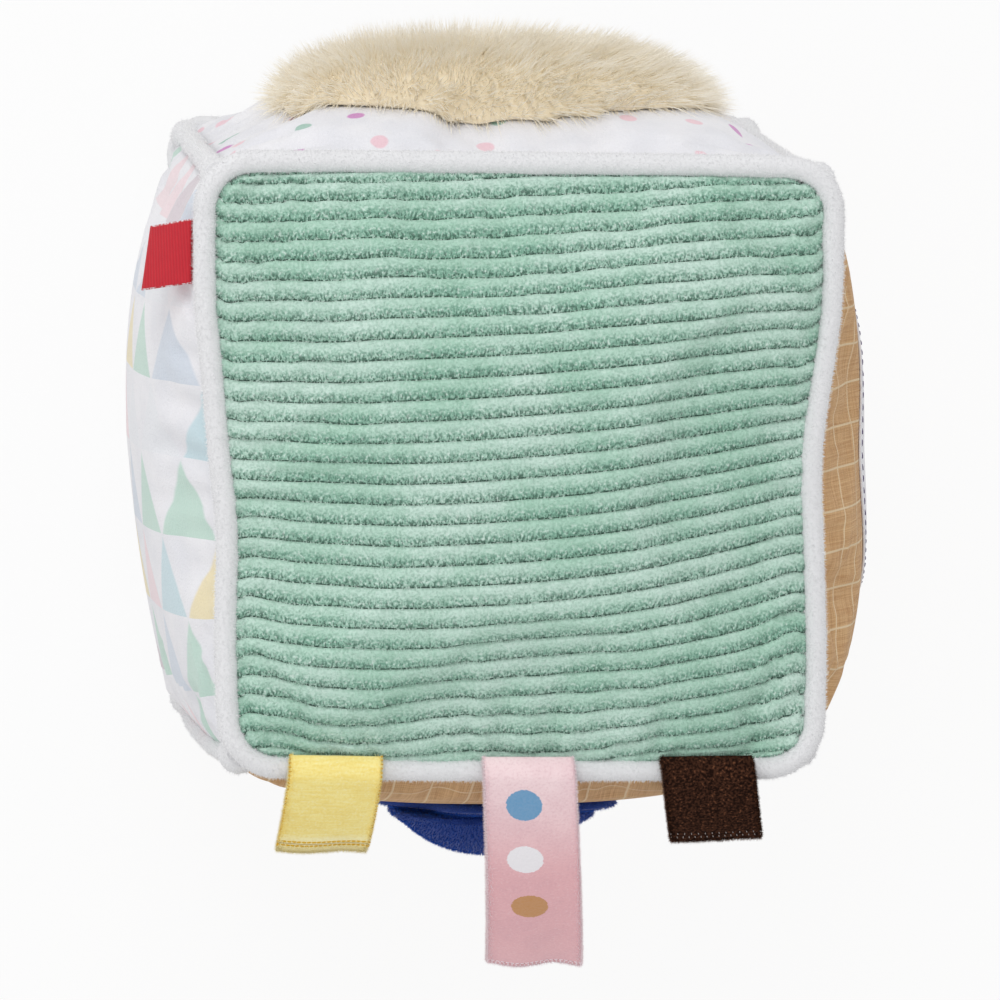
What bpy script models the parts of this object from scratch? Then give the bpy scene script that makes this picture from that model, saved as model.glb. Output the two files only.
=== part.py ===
"""Soft fabric block: a stuffed baby cube of six sewn panels with piped seams, lying on its rear panel.

Metres, +Z up. The ribbed front panel looks up. The dotted top panel with the fur patch faces +Y,
the checked bottom panel with the tabs faces -Y, the left panel -X and the right panel +X.

Every skin starts as a flat grid, a turned pad or a plain cube. The function swell() then bends it
onto one stuffed form: eight seam corners, edges drawn in between them, and six crowned faces.
"""

import math

import bmesh
import bpy
from mathutils import Vector

# Seam corners: how far each lies from the block's middle line
DEPTH = 0.150
REAR_REACH = 0.075
FRONT_TOP_LEFT_REACH = 0.0763
FRONT_TOP_RIGHT_REACH = 0.0761
FRONT_BOTTOM_LEFT_REACH = 0.0708
FRONT_BOTTOM_RIGHT_REACH = 0.0713
FRONT_LEFT_RISE = 0.0730
FRONT_RIGHT_RISE = 0.0708
FRONT_LEFT_DROP = 0.0719
FRONT_RIGHT_DROP = 0.0742
REAR_WIDE_REACH = 0.079
CORNER_ROUND = 0.012

# Stuffing: how far the faces stand out and the edges are drawn in, at their middles
SIDE_CROWN = 0.0135
FRONT_CROWN = 0.013
REAR_CROWN = 0.008
FRONT_LEFT_PULL = 0.0005
FRONT_RIGHT_PULL = 0.0020
FRONT_TOP_PULL = -0.0003
FRONT_BOTTOM_PULL = -0.0012
REAR_PULL = 0.0065
DEPTH_EDGE_PULL = 0.003
BOTTOM_LEFT_EDGE_BULGE = 0.004
SEAM_DIP = 0.002
REST_FLAT_DEPTH = 0.0005
SWELL_POWER = 2.8

# Bends of the two upright front seams, as they were sewn
RIGHT_UPPER_BULGE = 0.0018
RIGHT_NIP = 0.0015
RIGHT_LOWER_BULGE = 0.0011
LEFT_UPPER_BULGE = 0.0014
LEFT_NIP = 0.0016

# Cloth and seams
PANEL_THICKNESS = 0.0016
WALE_HEIGHT = 0.0018
WALE_BACKING = 0.0016
PIPING_RADIUS = 0.0030
SEAM_GAP = 0.0004

# Wadding and the rattle in its middle
WADDING_GAP = 0.0006
WADDING_ROUND = 0.027
SPLIT_GAP = 0.0004
RATTLE_RADIUS = 0.018
RATTLE_WALL = 0.0016
RATTLE_LIP = 0.0020
RATTLE_GAP = 0.0003
BEAD_RADIUS = 0.0025

# Tabs in the bottom front seam, and the label in the left front seam
PLY_THICKNESS = 0.0008
PLY_GAP = 0.0003
BACK_PLY_LONGER = 0.0015
TAB_GAP = 0.0006
YELLOW_TAB_WIDTH = 0.0218
YELLOW_TAB_LENGTH = 0.0290
YELLOW_TAB_ALONG = -0.0458
PINK_TAB_WIDTH = 0.0225
PINK_TAB_LENGTH = 0.0780
PINK_TAB_ALONG = 0.0008
BROWN_TAB_WIDTH = 0.0220
BROWN_TAB_LENGTH = 0.0270
BROWN_TAB_ALONG = 0.0443
LABEL_WIDTH = 0.0155
LABEL_LENGTH = 0.0135
LABEL_PLY = 0.0004
LABEL_GAP = 0.0002
LABEL_FOLD_RADIUS = 0.0005
LABEL_ALONG = -0.0527

# Padded patches
PATCH_GAP = 0.0005
PATCH_CLOTH = 0.0024
FUR_HALF_WIDTH = 0.058
FUR_HALF_HEIGHT = 0.050
FUR_RISE = 0.0125
FUR_PILE = 0.0050
FUR_UP = 0.0
NAVY_HALF_WIDTH = 0.0320
NAVY_HALF_HEIGHT = 0.0330
NAVY_ALONG = 0.0020
NAVY_PAD_HALF_WIDTH = 0.0225
NAVY_PAD_HALF_HEIGHT = 0.0250
NAVY_PAD_ALONG = 0.0035
NAVY_PAD_RISE = 0.0110
ROUND_PATCH_RADIUS = 0.042
ROUND_PATCH_THICKNESS = 0.0016

# Where those seams bend, as shares up their sides, and how much lower the right side bulges
UPPER_BULGE_SHARE = 0.59
RIGHT_NIP_SHARE = 0.02
LOWER_BULGE_SHARE = -0.67
LEFT_NIP_SHARE = -0.23
BEND_SPREAD_SHARE = 0.25
RIGHT_SAG_SHARE = 0.45

# Shares and counts that only set how finely a form is drawn
WALES = 31
WALE_SHOULDER_SHARE = 0.27
FRONT_COLUMNS = 10
INNER_ROWS = 12
PANEL_CELLS = 12
PATCH_SEGMENTS = 30
PATCH_RINGS = 5
SOFT_SQUARE_POWER = 2.6
LOBE_COUNT = 5
LOBE_SHARE = 0.1
SIDE_POINTS = 9
CORNER_POINTS = 4
WADDING_CUTS = 8
RATTLE_SEGMENTS = 18
RATTLE_ARC_POINTS = 5
BEAD_SEGMENTS = 8
BEAD_RINGS = 6
RING_BEADS = 5
TAB_WRAP_POINTS = 6
TAB_FREE_POINTS = 9
TAB_CELLS_ACROSS = 2
LABEL_STEPS = 4
FOLD_POINTS = 3
DIFFERENCE_SHARE = 0.001
MERGE_SHARE = 0.00001
HALVING_STEPS = 20
BEAD_SPACING_SHARE = 1.06
CUTTER_SHARE = 1.2

# Angles in degrees: place on the piping is measured from straight outward, up being positive
TAB_ROOT_PLACE = 134.0
PINK_DROOP_START = 22.0
PINK_DROOP_END = 61.0
SHORT_DROOP_START = 32.0
SHORT_DROOP_END = 50.0
LABEL_ROOT_PLACE = -42.0
LABEL_DROOP_START = 30.0
LABEL_DROOP_END = 42.0
YELLOW_SLANT = -1.7
PINK_SLANT = 5.7
BROWN_SLANT = 8.5
LABEL_SLANT = 6.3
SMOOTH_ANGLE = 50.0

QUARTER_TURNS = {"right": 0, "top": 1, "left": 2, "bottom": 3}


def clear_scene():
    for obj in list(bpy.data.objects):
        bpy.data.objects.remove(obj, do_unlink=True)


def new_collection(name):
    collection = bpy.data.collections.new(name)
    bpy.context.scene.collection.children.link(collection)
    return collection


def make_material(name, colour, roughness, metallic=0.0):
    material = bpy.data.materials.new(name)
    material.use_nodes = True
    shader = material.node_tree.nodes["Principled BSDF"]
    shader.inputs["Base Color"].default_value = (*colour, 1.0)
    shader.inputs["Roughness"].default_value = roughness
    shader.inputs["Metallic"].default_value = metallic
    return material


# The stuffed form


def blend(first, last, share):
    return first + (last - first) * share


def end_weight(t):
    """0 in the middle of a side and 1 at its ends, steep only near the ends as stuffed cloth is."""
    return abs(t) ** SWELL_POWER


def middle_weight(t):
    return 1 - end_weight(t)


def seam_corner_place(x, y, z):
    """The plain block between its eight seam corners, before any swelling."""
    right, top, front = (1 + x) / 2, (1 + y) / 2, (1 + z) / 2
    top_x = blend(-FRONT_TOP_LEFT_REACH, FRONT_TOP_RIGHT_REACH, right)
    bottom_x = blend(-FRONT_BOTTOM_LEFT_REACH, FRONT_BOTTOM_RIGHT_REACH, right)
    top_y = blend(FRONT_LEFT_RISE, FRONT_RIGHT_RISE, right)
    bottom_y = -blend(FRONT_LEFT_DROP, FRONT_RIGHT_DROP, right)
    front_x = blend(bottom_x, top_x, top)
    front_y = blend(bottom_y, top_y, top)
    return Vector((
        blend(x * REAR_WIDE_REACH, front_x, front),
        blend(y * REAR_WIDE_REACH, front_y, front),
        z * DEPTH / 2,
    ))


def bend_weight(y, place):
    """1 at a bend of a seam and 0 away from it."""
    return math.exp(-(((y - place) / BEND_SPREAD_SHARE) ** 2))


def seam_bend(x, y):
    """How far an upright front seam lies outside its smooth line."""
    upper = bend_weight(y, UPPER_BULGE_SHARE)
    if x < 0:
        return LEFT_UPPER_BULGE * upper - LEFT_NIP * bend_weight(y, LEFT_NIP_SHARE)
    lower = bend_weight(y, LOWER_BULGE_SHARE)
    nip = bend_weight(y, RIGHT_NIP_SHARE)
    return RIGHT_UPPER_BULGE * upper - RIGHT_NIP * nip + RIGHT_LOWER_BULGE * lower


def swell(x, y, z):
    """The place on or in the stuffed block of a point of a plain cube from -1 to 1 each way."""
    pull_x = REAR_PULL if z < 0 else FRONT_RIGHT_PULL if x > 0 else FRONT_LEFT_PULL
    pull_y = REAR_PULL if z < 0 else FRONT_TOP_PULL if y > 0 else FRONT_BOTTOM_PULL
    edge_pull = -BOTTOM_LEFT_EDGE_BULGE if x < 0 and y < 0 else DEPTH_EDGE_PULL
    crown_x = SIDE_CROWN * (1 - RIGHT_SAG_SHARE * y) if x > 0 else SIDE_CROWN
    crown_z = FRONT_CROWN if z > 0 else REAR_CROWN
    push_x = (
        crown_x * middle_weight(y) * middle_weight(z)
        - pull_x * middle_weight(y) * end_weight(z)
        - edge_pull * end_weight(y) * middle_weight(z)
    )
    if z > 0:
        push_x += seam_bend(x, y) * end_weight(x) * end_weight(z) * middle_weight(y)
    push_y = (
        SIDE_CROWN * middle_weight(x) * middle_weight(z)
        - pull_y * middle_weight(x) * end_weight(z)
        - edge_pull * end_weight(x) * middle_weight(z)
    )
    push_z = crown_z * middle_weight(x) * middle_weight(y) - SEAM_DIP * (
        middle_weight(x) * end_weight(y) + middle_weight(y) * end_weight(x)
    )
    return seam_corner_place(x, y, z) + Vector((x * push_x, y * push_y, z * push_z))


def side_share(length):
    return length / REAR_REACH


def depth_share(length):
    return length / (DEPTH / 2)


def half_run_share():
    """From the middle of a side to the middle of its rounded corner, along the rounded square."""
    return 1 - side_share(CORNER_ROUND) * (1 - math.pi / 4)


def around_side(side, run):
    """The cube's x and y at a run along the rounded square from the middle of one side."""
    corner = side_share(CORNER_ROUND)
    straight = 1 - corner
    turn = max(0.0, abs(run) - straight) / corner
    x = straight + corner * math.cos(turn)
    y = math.copysign(min(abs(run), straight) + corner * math.sin(turn), run)
    for _ in range(QUARTER_TURNS[side]):
        x, y = -y, x
    return x, y


def side_place(side, run, z):
    x, y = around_side(side, run)
    return swell(x, y, z)


def stop_short(place):
    """How far from a seam, as a share, cloth stops to lie a seam gap clear of the piping."""
    reach = PIPING_RADIUS + SEAM_GAP
    low, high = 0.0, 3 * side_share(reach)
    for _ in range(HALVING_STEPS):
        middle = (low + high) / 2
        if (place(middle) - place(0)).length < reach:
            low = middle
        else:
            high = middle
    return high


def face_place(u, v, z):
    """The cube's x and y of a grid point of the front or rear panel, kept clear of its piping."""
    corner = side_share(CORNER_ROUND)
    inset = side_share(PIPING_RADIUS + SEAM_GAP)
    y = v * (1 - inset)
    beyond = max(0.0, abs(y) - (1 - corner))
    x = u * (1 - corner + math.sqrt(max(0.0, (corner - inset) ** 2 - beyond**2)))
    if max(abs(u), abs(v)) < 1:
        return x, y
    core = Vector([max(corner - 1, min(1 - corner, t)) for t in (x, y)])
    outward = (Vector((x, y)) - core).normalized()
    seam = core + outward * corner
    edge = seam - outward * stop_short(lambda share: swell(*(seam - outward * share), z))
    return edge.x, edge.y


def square_to(along, across):
    return along.cross(across).normalized()


def front_normal(x, y):
    d = DIFFERENCE_SHARE
    return square_to(
        swell(x + d, y, 1) - swell(x - d, y, 1), swell(x, y + d, 1) - swell(x, y - d, 1)
    )


def side_normal(side, run, z):
    d = DIFFERENCE_SHARE
    return square_to(
        side_place(side, run + d, z) - side_place(side, run - d, z),
        side_place(side, run, z + d) - side_place(side, run, z - d),
    )


def closer_at_ends(t):
    """Spaces even steps closer together near -1 and 1, where the cloth curves most."""
    return math.sin(math.pi / 2 * t)


# Objects and meshes


def add_object(name, data, material, collection, parent):
    obj = bpy.data.objects.new(name, data)
    obj.data.materials.append(material)
    obj.parent = parent
    collection.objects.link(obj)
    return obj


def mesh_object(name, bm, material, collection, parent):
    mesh = bpy.data.meshes.new(name)
    bm.to_mesh(mesh)
    bm.free()
    mesh.shade_smooth()
    mesh.set_sharp_from_angle(angle=math.radians(SMOOTH_ANGLE))
    return add_object(name, mesh, material, collection, parent)


def add_thickness(obj, thickness, offset):
    solidify = obj.modifiers.new("cloth thickness", "SOLIDIFY")
    solidify.thickness = thickness
    solidify.offset = offset
    solidify.use_even_offset = True


def cut_away(obj, cutter):
    boolean = obj.modifiers.new("cut", "BOOLEAN")
    boolean.operation = "DIFFERENCE"
    boolean.object = cutter


def add_hinge(name, place, parent, collection):
    hinge = bpy.data.objects.new(name, None)
    hinge.empty_display_size = PIPING_RADIUS
    hinge.location = place
    hinge.parent = parent
    collection.objects.link(hinge)
    return hinge


def add_cutter(name, bm, collection, parent):
    mesh = bpy.data.meshes.new(name)
    bm.to_mesh(mesh)
    bm.free()
    cutter = bpy.data.objects.new(name, mesh)
    cutter.hide_render = True
    cutter.display_type = "WIRE"
    cutter.parent = parent
    collection.objects.link(cutter)
    return cutter


# Panels


def grid_rows(bm, columns, rows):
    """A flat grid from -1 to 1, as a list of rows of its points."""
    points = bmesh.ops.create_grid(bm, x_segments=columns, y_segments=rows, size=1)["verts"]
    wide = columns + 1
    return [points[start : start + wide] for start in range(0, len(points), wide)]


def zip_edges(bm, first, second):
    """Joins two rows of points of unlike count with triangles."""
    i, j = 0, 0
    first_steps, second_steps = len(first) - 1, len(second) - 1
    while i < first_steps or j < second_steps:
        if j == second_steps or (i < first_steps and (i + 1) * second_steps <= (j + 1) * first_steps):
            bm.faces.new((first[i], first[i + 1], second[j]))
            i += 1
        else:
            bm.faces.new((first[i], second[j + 1], second[j]))
            j += 1


def outline_rows(rows):
    """The four outer rows of a grid, in one order for every grid."""
    return rows[0], rows[-1], [row[0] for row in rows], [row[-1] for row in rows]


def build_front_panel(material, collection, parent):
    """Ribbed plush: a wale is a flat crest between two narrow valleys, over a smooth backing."""
    bm = bmesh.new()
    phases = (0.0, WALE_SHOULDER_SHARE, 1 - WALE_SHOULDER_SHARE)
    outer = grid_rows(bm, FRONT_COLUMNS, WALES * len(phases))
    for number, row in enumerate(outer):
        wale, step = divmod(number, len(phases))
        v = 2 * (wale + phases[step]) / WALES - 1
        lift = 0.0 if step else -WALE_HEIGHT
        for point in row:
            x, y = face_place(closer_at_ends(point.co.x), v, 1)
            point.co = swell(x, y, 1) + front_normal(x, y) * lift
    inner = grid_rows(bm, FRONT_COLUMNS, INNER_ROWS)
    for row in inner:
        for point in row:
            x, y = face_place(closer_at_ends(point.co.x), closer_at_ends(point.co.y), 1)
            point.co = swell(x, y, 1) - front_normal(x, y) * (WALE_HEIGHT + WALE_BACKING)
    for first, second in zip(outline_rows(outer), outline_rows(inner)):
        zip_edges(bm, first, second)
    bmesh.ops.recalc_face_normals(bm, faces=bm.faces)
    return mesh_object("front_panel", bm, material, collection, parent)


def build_rear_panel(material, collection, cutters, parent):
    bm = bmesh.new()
    for row in grid_rows(bm, PANEL_CELLS, PANEL_CELLS):
        for point in row:
            u, v = closer_at_ends(-point.co.x), closer_at_ends(point.co.y)
            point.co = swell(*face_place(u, v, -1), -1)
    panel = mesh_object("rear_panel", bm, material, collection, parent)
    add_thickness(panel, PANEL_THICKNESS, -1)
    cut_away(panel, build_floor_cutter(cutters, parent))
    return panel


def rear_low_point():
    return swell(0, 0, -1).z


def build_floor_cutter(cutters, parent):
    """Presses the rear panel flat where the block's weight rests on it."""
    half = REAR_REACH * CUTTER_SHARE
    bm = bmesh.new()
    bmesh.ops.create_cube(bm, size=1)
    for point in bm.verts:
        point.co = Vector((point.co.x * half, point.co.y * half, (point.co.z - 0.5) * REAR_CROWN))
        point.co.z += rear_low_point() + REST_FLAT_DEPTH
    return add_cutter("floor_cutter", bm, cutters, parent)


def panel_run_and_up(side, u, v):
    """Run and height shares of a side panel's grid point, kept clear of the piping all round."""
    half_run = half_run_share()
    up = v * (1 - depth_share(PIPING_RADIUS + SEAM_GAP))
    short = stop_short(lambda share: side_place(side, math.copysign(half_run - share, u), up))
    run = u * (half_run - short)
    short = stop_short(lambda share: side_place(side, run, math.copysign(1 - share, v)))
    return run, v * (1 - short)


def build_side_panel(side, material, collection, parent):
    bm = bmesh.new()
    for row in grid_rows(bm, PANEL_CELLS, PANEL_CELLS):
        for point in row:
            u, v = closer_at_ends(point.co.x), closer_at_ends(point.co.y)
            point.co = side_place(side, *panel_run_and_up(side, u, v))
    panel = mesh_object(side + "_panel", bm, material, collection, parent)
    add_thickness(panel, PANEL_THICKNESS, -1)
    return panel


# Piping


def add_tube(name, points, closed, material, collection, parent):
    curve = bpy.data.curves.new(name, "CURVE")
    curve.dimensions = "3D"
    spline = curve.splines.new("POLY")
    spline.points.add(len(points) - 1)
    for target, point in zip(spline.points, points):
        target.co = (*point, 1)
    spline.use_cyclic_u = closed
    spline.use_smooth = True
    curve.bevel_depth = PIPING_RADIUS
    curve.bevel_resolution = 2
    curve.use_fill_caps = not closed
    return add_object(name, curve, material, collection, parent)


def loop_points(z):
    """One round of the rounded square at a height, as the piped seam between a face and the sides."""
    straight = 1 - side_share(CORNER_ROUND)
    runs = [blend(-straight, straight, i / (SIDE_POINTS - 1)) for i in range(SIDE_POINTS)]
    corner_length = 2 * (half_run_share() - straight)
    runs += [straight + corner_length * i / CORNER_POINTS for i in range(1, CORNER_POINTS)]
    points = []
    for side in QUARTER_TURNS:
        points += [side_place(side, run, z) for run in runs]
    return points


def build_piping(material, collection, parent):
    add_tube("front_piping", loop_points(1), True, material, collection, parent)
    add_tube("rear_piping", loop_points(-1), True, material, collection, parent)
    corners = {
        "top_right": "right",
        "top_left": "top",
        "bottom_left": "left",
        "bottom_right": "bottom",
    }
    end = 1 - depth_share(PIPING_RADIUS + SEAM_GAP)
    for name, side in corners.items():
        steps = [blend(-end, end, i / (SIDE_POINTS - 1)) for i in range(SIDE_POINTS)]
        points = [side_place(side, half_run_share(), z) for z in steps]
        add_tube(name + "_piping", points, False, material, collection, parent)


# Wadding and rattle


def wadding_place(point):
    """A cube's point taken to the rounded block of wadding that fills the skins."""
    corner = side_share(WADDING_ROUND)
    even = Vector([closer_at_ends(t) for t in point])
    core = Vector([max(corner - 1, min(1 - corner, t)) for t in even])
    reach = even - core
    if reach.length > corner:
        reach = reach.normalized() * corner
    x, y, z = core + reach
    side_inset = side_share(PANEL_THICKNESS + WADDING_GAP)
    front_inset = depth_share(WALE_HEIGHT + WALE_BACKING + WADDING_GAP)
    rear_inset = depth_share(PANEL_THICKNESS + WADDING_GAP)
    return swell(
        x * (1 - side_inset),
        y * (1 - side_inset),
        z * (1 - (front_inset if z > 0 else rear_inset)),
    )


def build_wadding_half(name, upper, pocket, material, collection, parent):
    bm = bmesh.new()
    bmesh.ops.create_cube(bm, size=2)
    bmesh.ops.subdivide_edges(bm, edges=bm.edges[:], cuts=WADDING_CUTS, use_grid_fill=True)
    for point in bm.verts:
        point.co = wadding_place(point.co)
    bmesh.ops.recalc_face_normals(bm, faces=bm.faces)
    level = SPLIT_GAP / 2 if upper else -SPLIT_GAP / 2
    cut = bmesh.ops.bisect_plane(
        bm,
        geom=bm.verts[:] + bm.edges[:] + bm.faces[:],
        plane_co=(0, 0, level),
        plane_no=(0, 0, 1),
        clear_inner=upper,
        clear_outer=not upper,
    )["geom_cut"]
    rim = [piece for piece in cut if isinstance(piece, bmesh.types.BMEdge)]
    bmesh.ops.contextual_create(bm, geom=rim)
    bmesh.ops.recalc_face_normals(bm, faces=bm.faces)
    half = mesh_object(name, bm, material, collection, parent)
    cut_away(half, pocket)
    return half


def build_pocket_cutter(cutters, parent):
    """A ball whose flats, not only its corners, clear the rattle."""
    flats = math.cos(math.pi / RATTLE_SEGMENTS) * math.cos(math.pi / 4 / RATTLE_ARC_POINTS)
    bm = bmesh.new()
    bmesh.ops.create_uvsphere(
        bm,
        u_segments=RATTLE_SEGMENTS,
        v_segments=2 * RATTLE_ARC_POINTS,
        radius=(RATTLE_RADIUS + RATTLE_GAP) / flats,
    )
    return add_cutter("rattle_pocket_cutter", bm, cutters, parent)


def turned_object(name, profile, segments, material, collection, parent):
    """A profile of radius and height pairs, run down its outer side, turned about the Z axis."""
    mesh = bpy.data.meshes.new(name)
    edges = [(i, i + 1) for i in range(len(profile) - 1)]
    mesh.from_pydata([(radius, 0, height) for radius, height in profile], edges, [])
    obj = add_object(name, mesh, material, collection, parent)
    screw = obj.modifiers.new("turned", "SCREW")
    screw.steps = segments
    screw.render_steps = segments
    screw.use_merge_vertices = True
    screw.merge_threshold = MERGE_SHARE
    screw.use_smooth_shade = True
    return obj


def arc_profile(radius, start, end):
    """Radius and height pairs on a circle about the middle, between two angles from level."""
    steps = [blend(start, end, i / RATTLE_ARC_POINTS) for i in range(RATTLE_ARC_POINTS + 1)]
    return [(radius * math.cos(angle), radius * math.sin(angle)) for angle in steps]


def build_rattle(shell_material, bead_material, collection, parent):
    """Two half shells that lap at the middle, with loose beads on the floor of the lower one."""
    inner = RATTLE_RADIUS - RATTLE_WALL
    lap = RATTLE_RADIUS - RATTLE_WALL / 2
    top = math.pi / 2
    lip_top = RATTLE_LIP + RATTLE_GAP
    upper_outer = arc_profile(RATTLE_RADIUS, top, math.asin(RATTLE_GAP / RATTLE_RADIUS))
    upper_inner = arc_profile(inner, math.asin(lip_top / inner), top)
    upper_lap = [(lap + RATTLE_GAP / 2, RATTLE_GAP), (lap + RATTLE_GAP / 2, lip_top)]
    upper = on_axis(upper_outer + upper_lap + upper_inner)
    lower_inner = arc_profile(inner, -top, 0)
    lower_lip = [
        (math.sqrt(inner**2 - RATTLE_LIP**2), RATTLE_LIP),
        (lap - RATTLE_GAP / 2, RATTLE_LIP),
        (lap - RATTLE_GAP / 2, 0),
    ]
    lower = on_axis(lower_inner + lower_lip + arc_profile(RATTLE_RADIUS, 0, -top))
    for name, profile in (("rattle_upper_shell", upper), ("rattle_lower_shell", lower)):
        turned_object(name, profile, RATTLE_SEGMENTS, shell_material, collection, parent)
    build_beads(inner, bead_material, collection, parent)


def on_axis(profile):
    """The same profile with its two ends exactly on the axis."""
    return [(0, profile[0][1])] + profile[1:-1] + [(0, profile[-1][1])]


def build_beads(inner, material, collection, parent):
    """One bead at the lowest point of the shell and a ring of beads against it."""
    reach = (inner - BEAD_RADIUS) * math.cos(math.pi / RATTLE_SEGMENTS) - RATTLE_GAP
    tilt = 2 * math.asin((BEAD_RADIUS + RATTLE_GAP / 2) * BEAD_SPACING_SHARE / reach)
    places = [Vector((0, 0, -reach))]
    for number in range(RING_BEADS):
        turn = 2 * math.pi * number / RING_BEADS
        flat = reach * math.sin(tilt)
        places.append(
            Vector((flat * math.cos(turn), flat * math.sin(turn), -reach * math.cos(tilt)))
        )
    for number, place in enumerate(places, 1):
        bm = bmesh.new()
        bmesh.ops.create_uvsphere(
            bm, u_segments=BEAD_SEGMENTS, v_segments=BEAD_RINGS, radius=BEAD_RADIUS
        )
        bead = mesh_object(f"rattle_bead_{number}", bm, material, collection, parent)
        bead.location = place


# Padded patches


def round_outline(_):
    return 1.0


def soft_square_outline(angle):
    """A square with wide round corners, between a circle and a box."""
    total = abs(math.cos(angle)) ** SOFT_SQUARE_POWER + abs(math.sin(angle)) ** SOFT_SQUARE_POWER
    return total ** (-1 / SOFT_SQUARE_POWER)


def lobed_outline(angle):
    """Soft lobes, one of them to the left."""
    return 1 - LOBE_SHARE + LOBE_SHARE * math.cos(LOBE_COUNT * (angle - math.pi))


def dome_profile(rise, reach, lift, falling):
    """Points of a cushion's section from its middle to its edge, or back, as share and height."""
    shares = [closer_at_ends(i / PATCH_RINGS) for i in range(PATCH_RINGS + 1)]
    dome = [(share * reach, lift + rise * math.sqrt(1 - share**4)) for share in shares]
    return dome if falling else dome[::-1]


def flat_profile(reach, height):
    """The underside, from its edge to its middle."""
    return [(reach * (1 - i / PATCH_RINGS), height) for i in range(PATCH_RINGS + 1)]


def cover_profile(rise, cloth, reach_share, lift):
    """A domed cover, hollow for its wadding: over the top, in at the edge, back under the dome."""
    outer = dome_profile(rise, 1, lift, True)
    inner = dome_profile(rise - cloth, reach_share, lift, False)
    return outer + inner


def pad_profile(rise, reach, lift, edge):
    """A solid pad: a dome down to a small upright edge, and a flat underside."""
    return dome_profile(rise - edge, reach, lift + edge, True) + flat_profile(reach, lift)


def layer_profile(thickness, lift):
    """An even layer of cloth."""
    top = [(reach, lift + thickness) for reach, _ in reversed(flat_profile(1, lift))]
    return top + flat_profile(1, lift)


def build_patch(name, profile, outline, side, along, up, half_size, material, collection, parent):
    """Turns a section about the patch's middle, then lays it on a side panel."""
    bm = bmesh.new()
    points = [bm.verts.new((share, 0, height)) for share, height in profile]
    edges = [bm.edges.new(pair) for pair in zip(points, points[1:])]
    bmesh.ops.spin(
        bm,
        geom=points + edges,
        cent=(0, 0, 0),
        axis=(0, 0, 1),
        angle=2 * math.pi,
        steps=PATCH_SEGMENTS,
        use_merge=True,
    )
    bmesh.ops.remove_doubles(bm, verts=bm.verts, dist=MERGE_SHARE)
    half_width, half_height = half_size
    for point in bm.verts:
        share = math.hypot(point.co.x, point.co.y)
        angle = math.atan2(point.co.y, point.co.x)
        out = share * outline(angle)
        run = side_share(along + out * half_width * math.cos(angle))
        z = depth_share(up + out * half_height * math.sin(angle))
        point.co = side_place(side, run, z) + side_normal(side, run, z) * point.co.z
    return mesh_object(name, bm, material, collection, parent)


def build_patches(materials, collection, parent):
    """Each patch: name, section, outline, side, places along and up, half size and material."""
    fur_place = (soft_square_outline, "top", 0, FUR_UP, (FUR_HALF_WIDTH, FUR_HALF_HEIGHT))
    fur_inside = 1 - FUR_PILE / FUR_HALF_HEIGHT
    fur_reach = fur_inside - PATCH_GAP * 2 / FUR_HALF_HEIGHT
    fur = cover_profile(FUR_RISE, FUR_PILE, fur_inside, PATCH_GAP)
    fur_wadding = pad_profile(FUR_RISE - FUR_PILE - PATCH_GAP, fur_reach, PATCH_GAP, PATCH_GAP)

    layer_place = (lobed_outline, "bottom", NAVY_ALONG, 0, (NAVY_HALF_WIDTH, NAVY_HALF_HEIGHT))
    layer = layer_profile(PATCH_CLOTH, PATCH_GAP)

    pad_size = (NAVY_PAD_HALF_WIDTH, NAVY_PAD_HALF_HEIGHT)
    pad_place = (soft_square_outline, "bottom", NAVY_PAD_ALONG, 0, pad_size)
    pad_inside = 1 - PATCH_CLOTH / NAVY_PAD_HALF_WIDTH
    pad_reach = pad_inside - PATCH_GAP * 2 / NAVY_PAD_HALF_WIDTH
    pad_lift = PATCH_GAP + PATCH_CLOTH + PATCH_GAP
    pad = cover_profile(NAVY_PAD_RISE, PATCH_CLOTH, pad_inside, pad_lift)
    pad_wadding = pad_profile(NAVY_PAD_RISE - PATCH_CLOTH - PATCH_GAP, pad_reach, pad_lift, PATCH_GAP)

    round_size = (ROUND_PATCH_RADIUS, ROUND_PATCH_RADIUS)
    round_layer = layer_profile(ROUND_PATCH_THICKNESS, PATCH_GAP)

    patches = (
        ("fur_patch", fur, *fur_place, "fur"),
        ("fur_patch_wadding", fur_wadding, *fur_place, "wadding"),
        ("navy_patch", layer, *layer_place, "navy"),
        ("navy_pad", pad, *pad_place, "navy"),
        ("navy_pad_wadding", pad_wadding, *pad_place, "wadding"),
        ("round_patch", round_layer, round_outline, "right", 0, 0, round_size, "lilac"),
    )
    for *patch, material in patches:
        build_patch(*patch, materials[material], collection, parent)


# Tabs and label


def seam_frame(side, run):
    """A point of the front seam, with the directions along it, up and outward there."""
    d = DIFFERENCE_SHARE
    along = (side_place(side, run + d, 1) - side_place(side, run - d, 1)).normalized()
    up = (Vector((0, 0, 1)) - along * along.z).normalized()
    return side_place(side, run, 1), along, up, along.cross(up)


def on_piping(radius, degrees):
    """Outward and up distances of a place on a circle about the piping's middle."""
    angle = math.radians(degrees)
    return Vector((radius * math.cos(angle), radius * math.sin(angle)))


def strip_path(root, headings, steps, offset):
    """Outward and up places along a strip that turns through given headings, set off to one side."""
    places = []
    place = root.copy()
    for number, heading in enumerate(headings):
        side = Vector((-math.sin(heading), math.cos(heading)))
        places.append(place + side * offset)
        if number < len(steps):
            middle = (heading + headings[number + 1]) / 2
            place = place + Vector((math.cos(middle), math.sin(middle))) * steps[number]
    return places


def drooping(first, last, count):
    """Headings, from one droop below level to another, of a free stretch."""
    return [-math.radians(blend(first, last, i / count)) for i in range(count + 1)]


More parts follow.
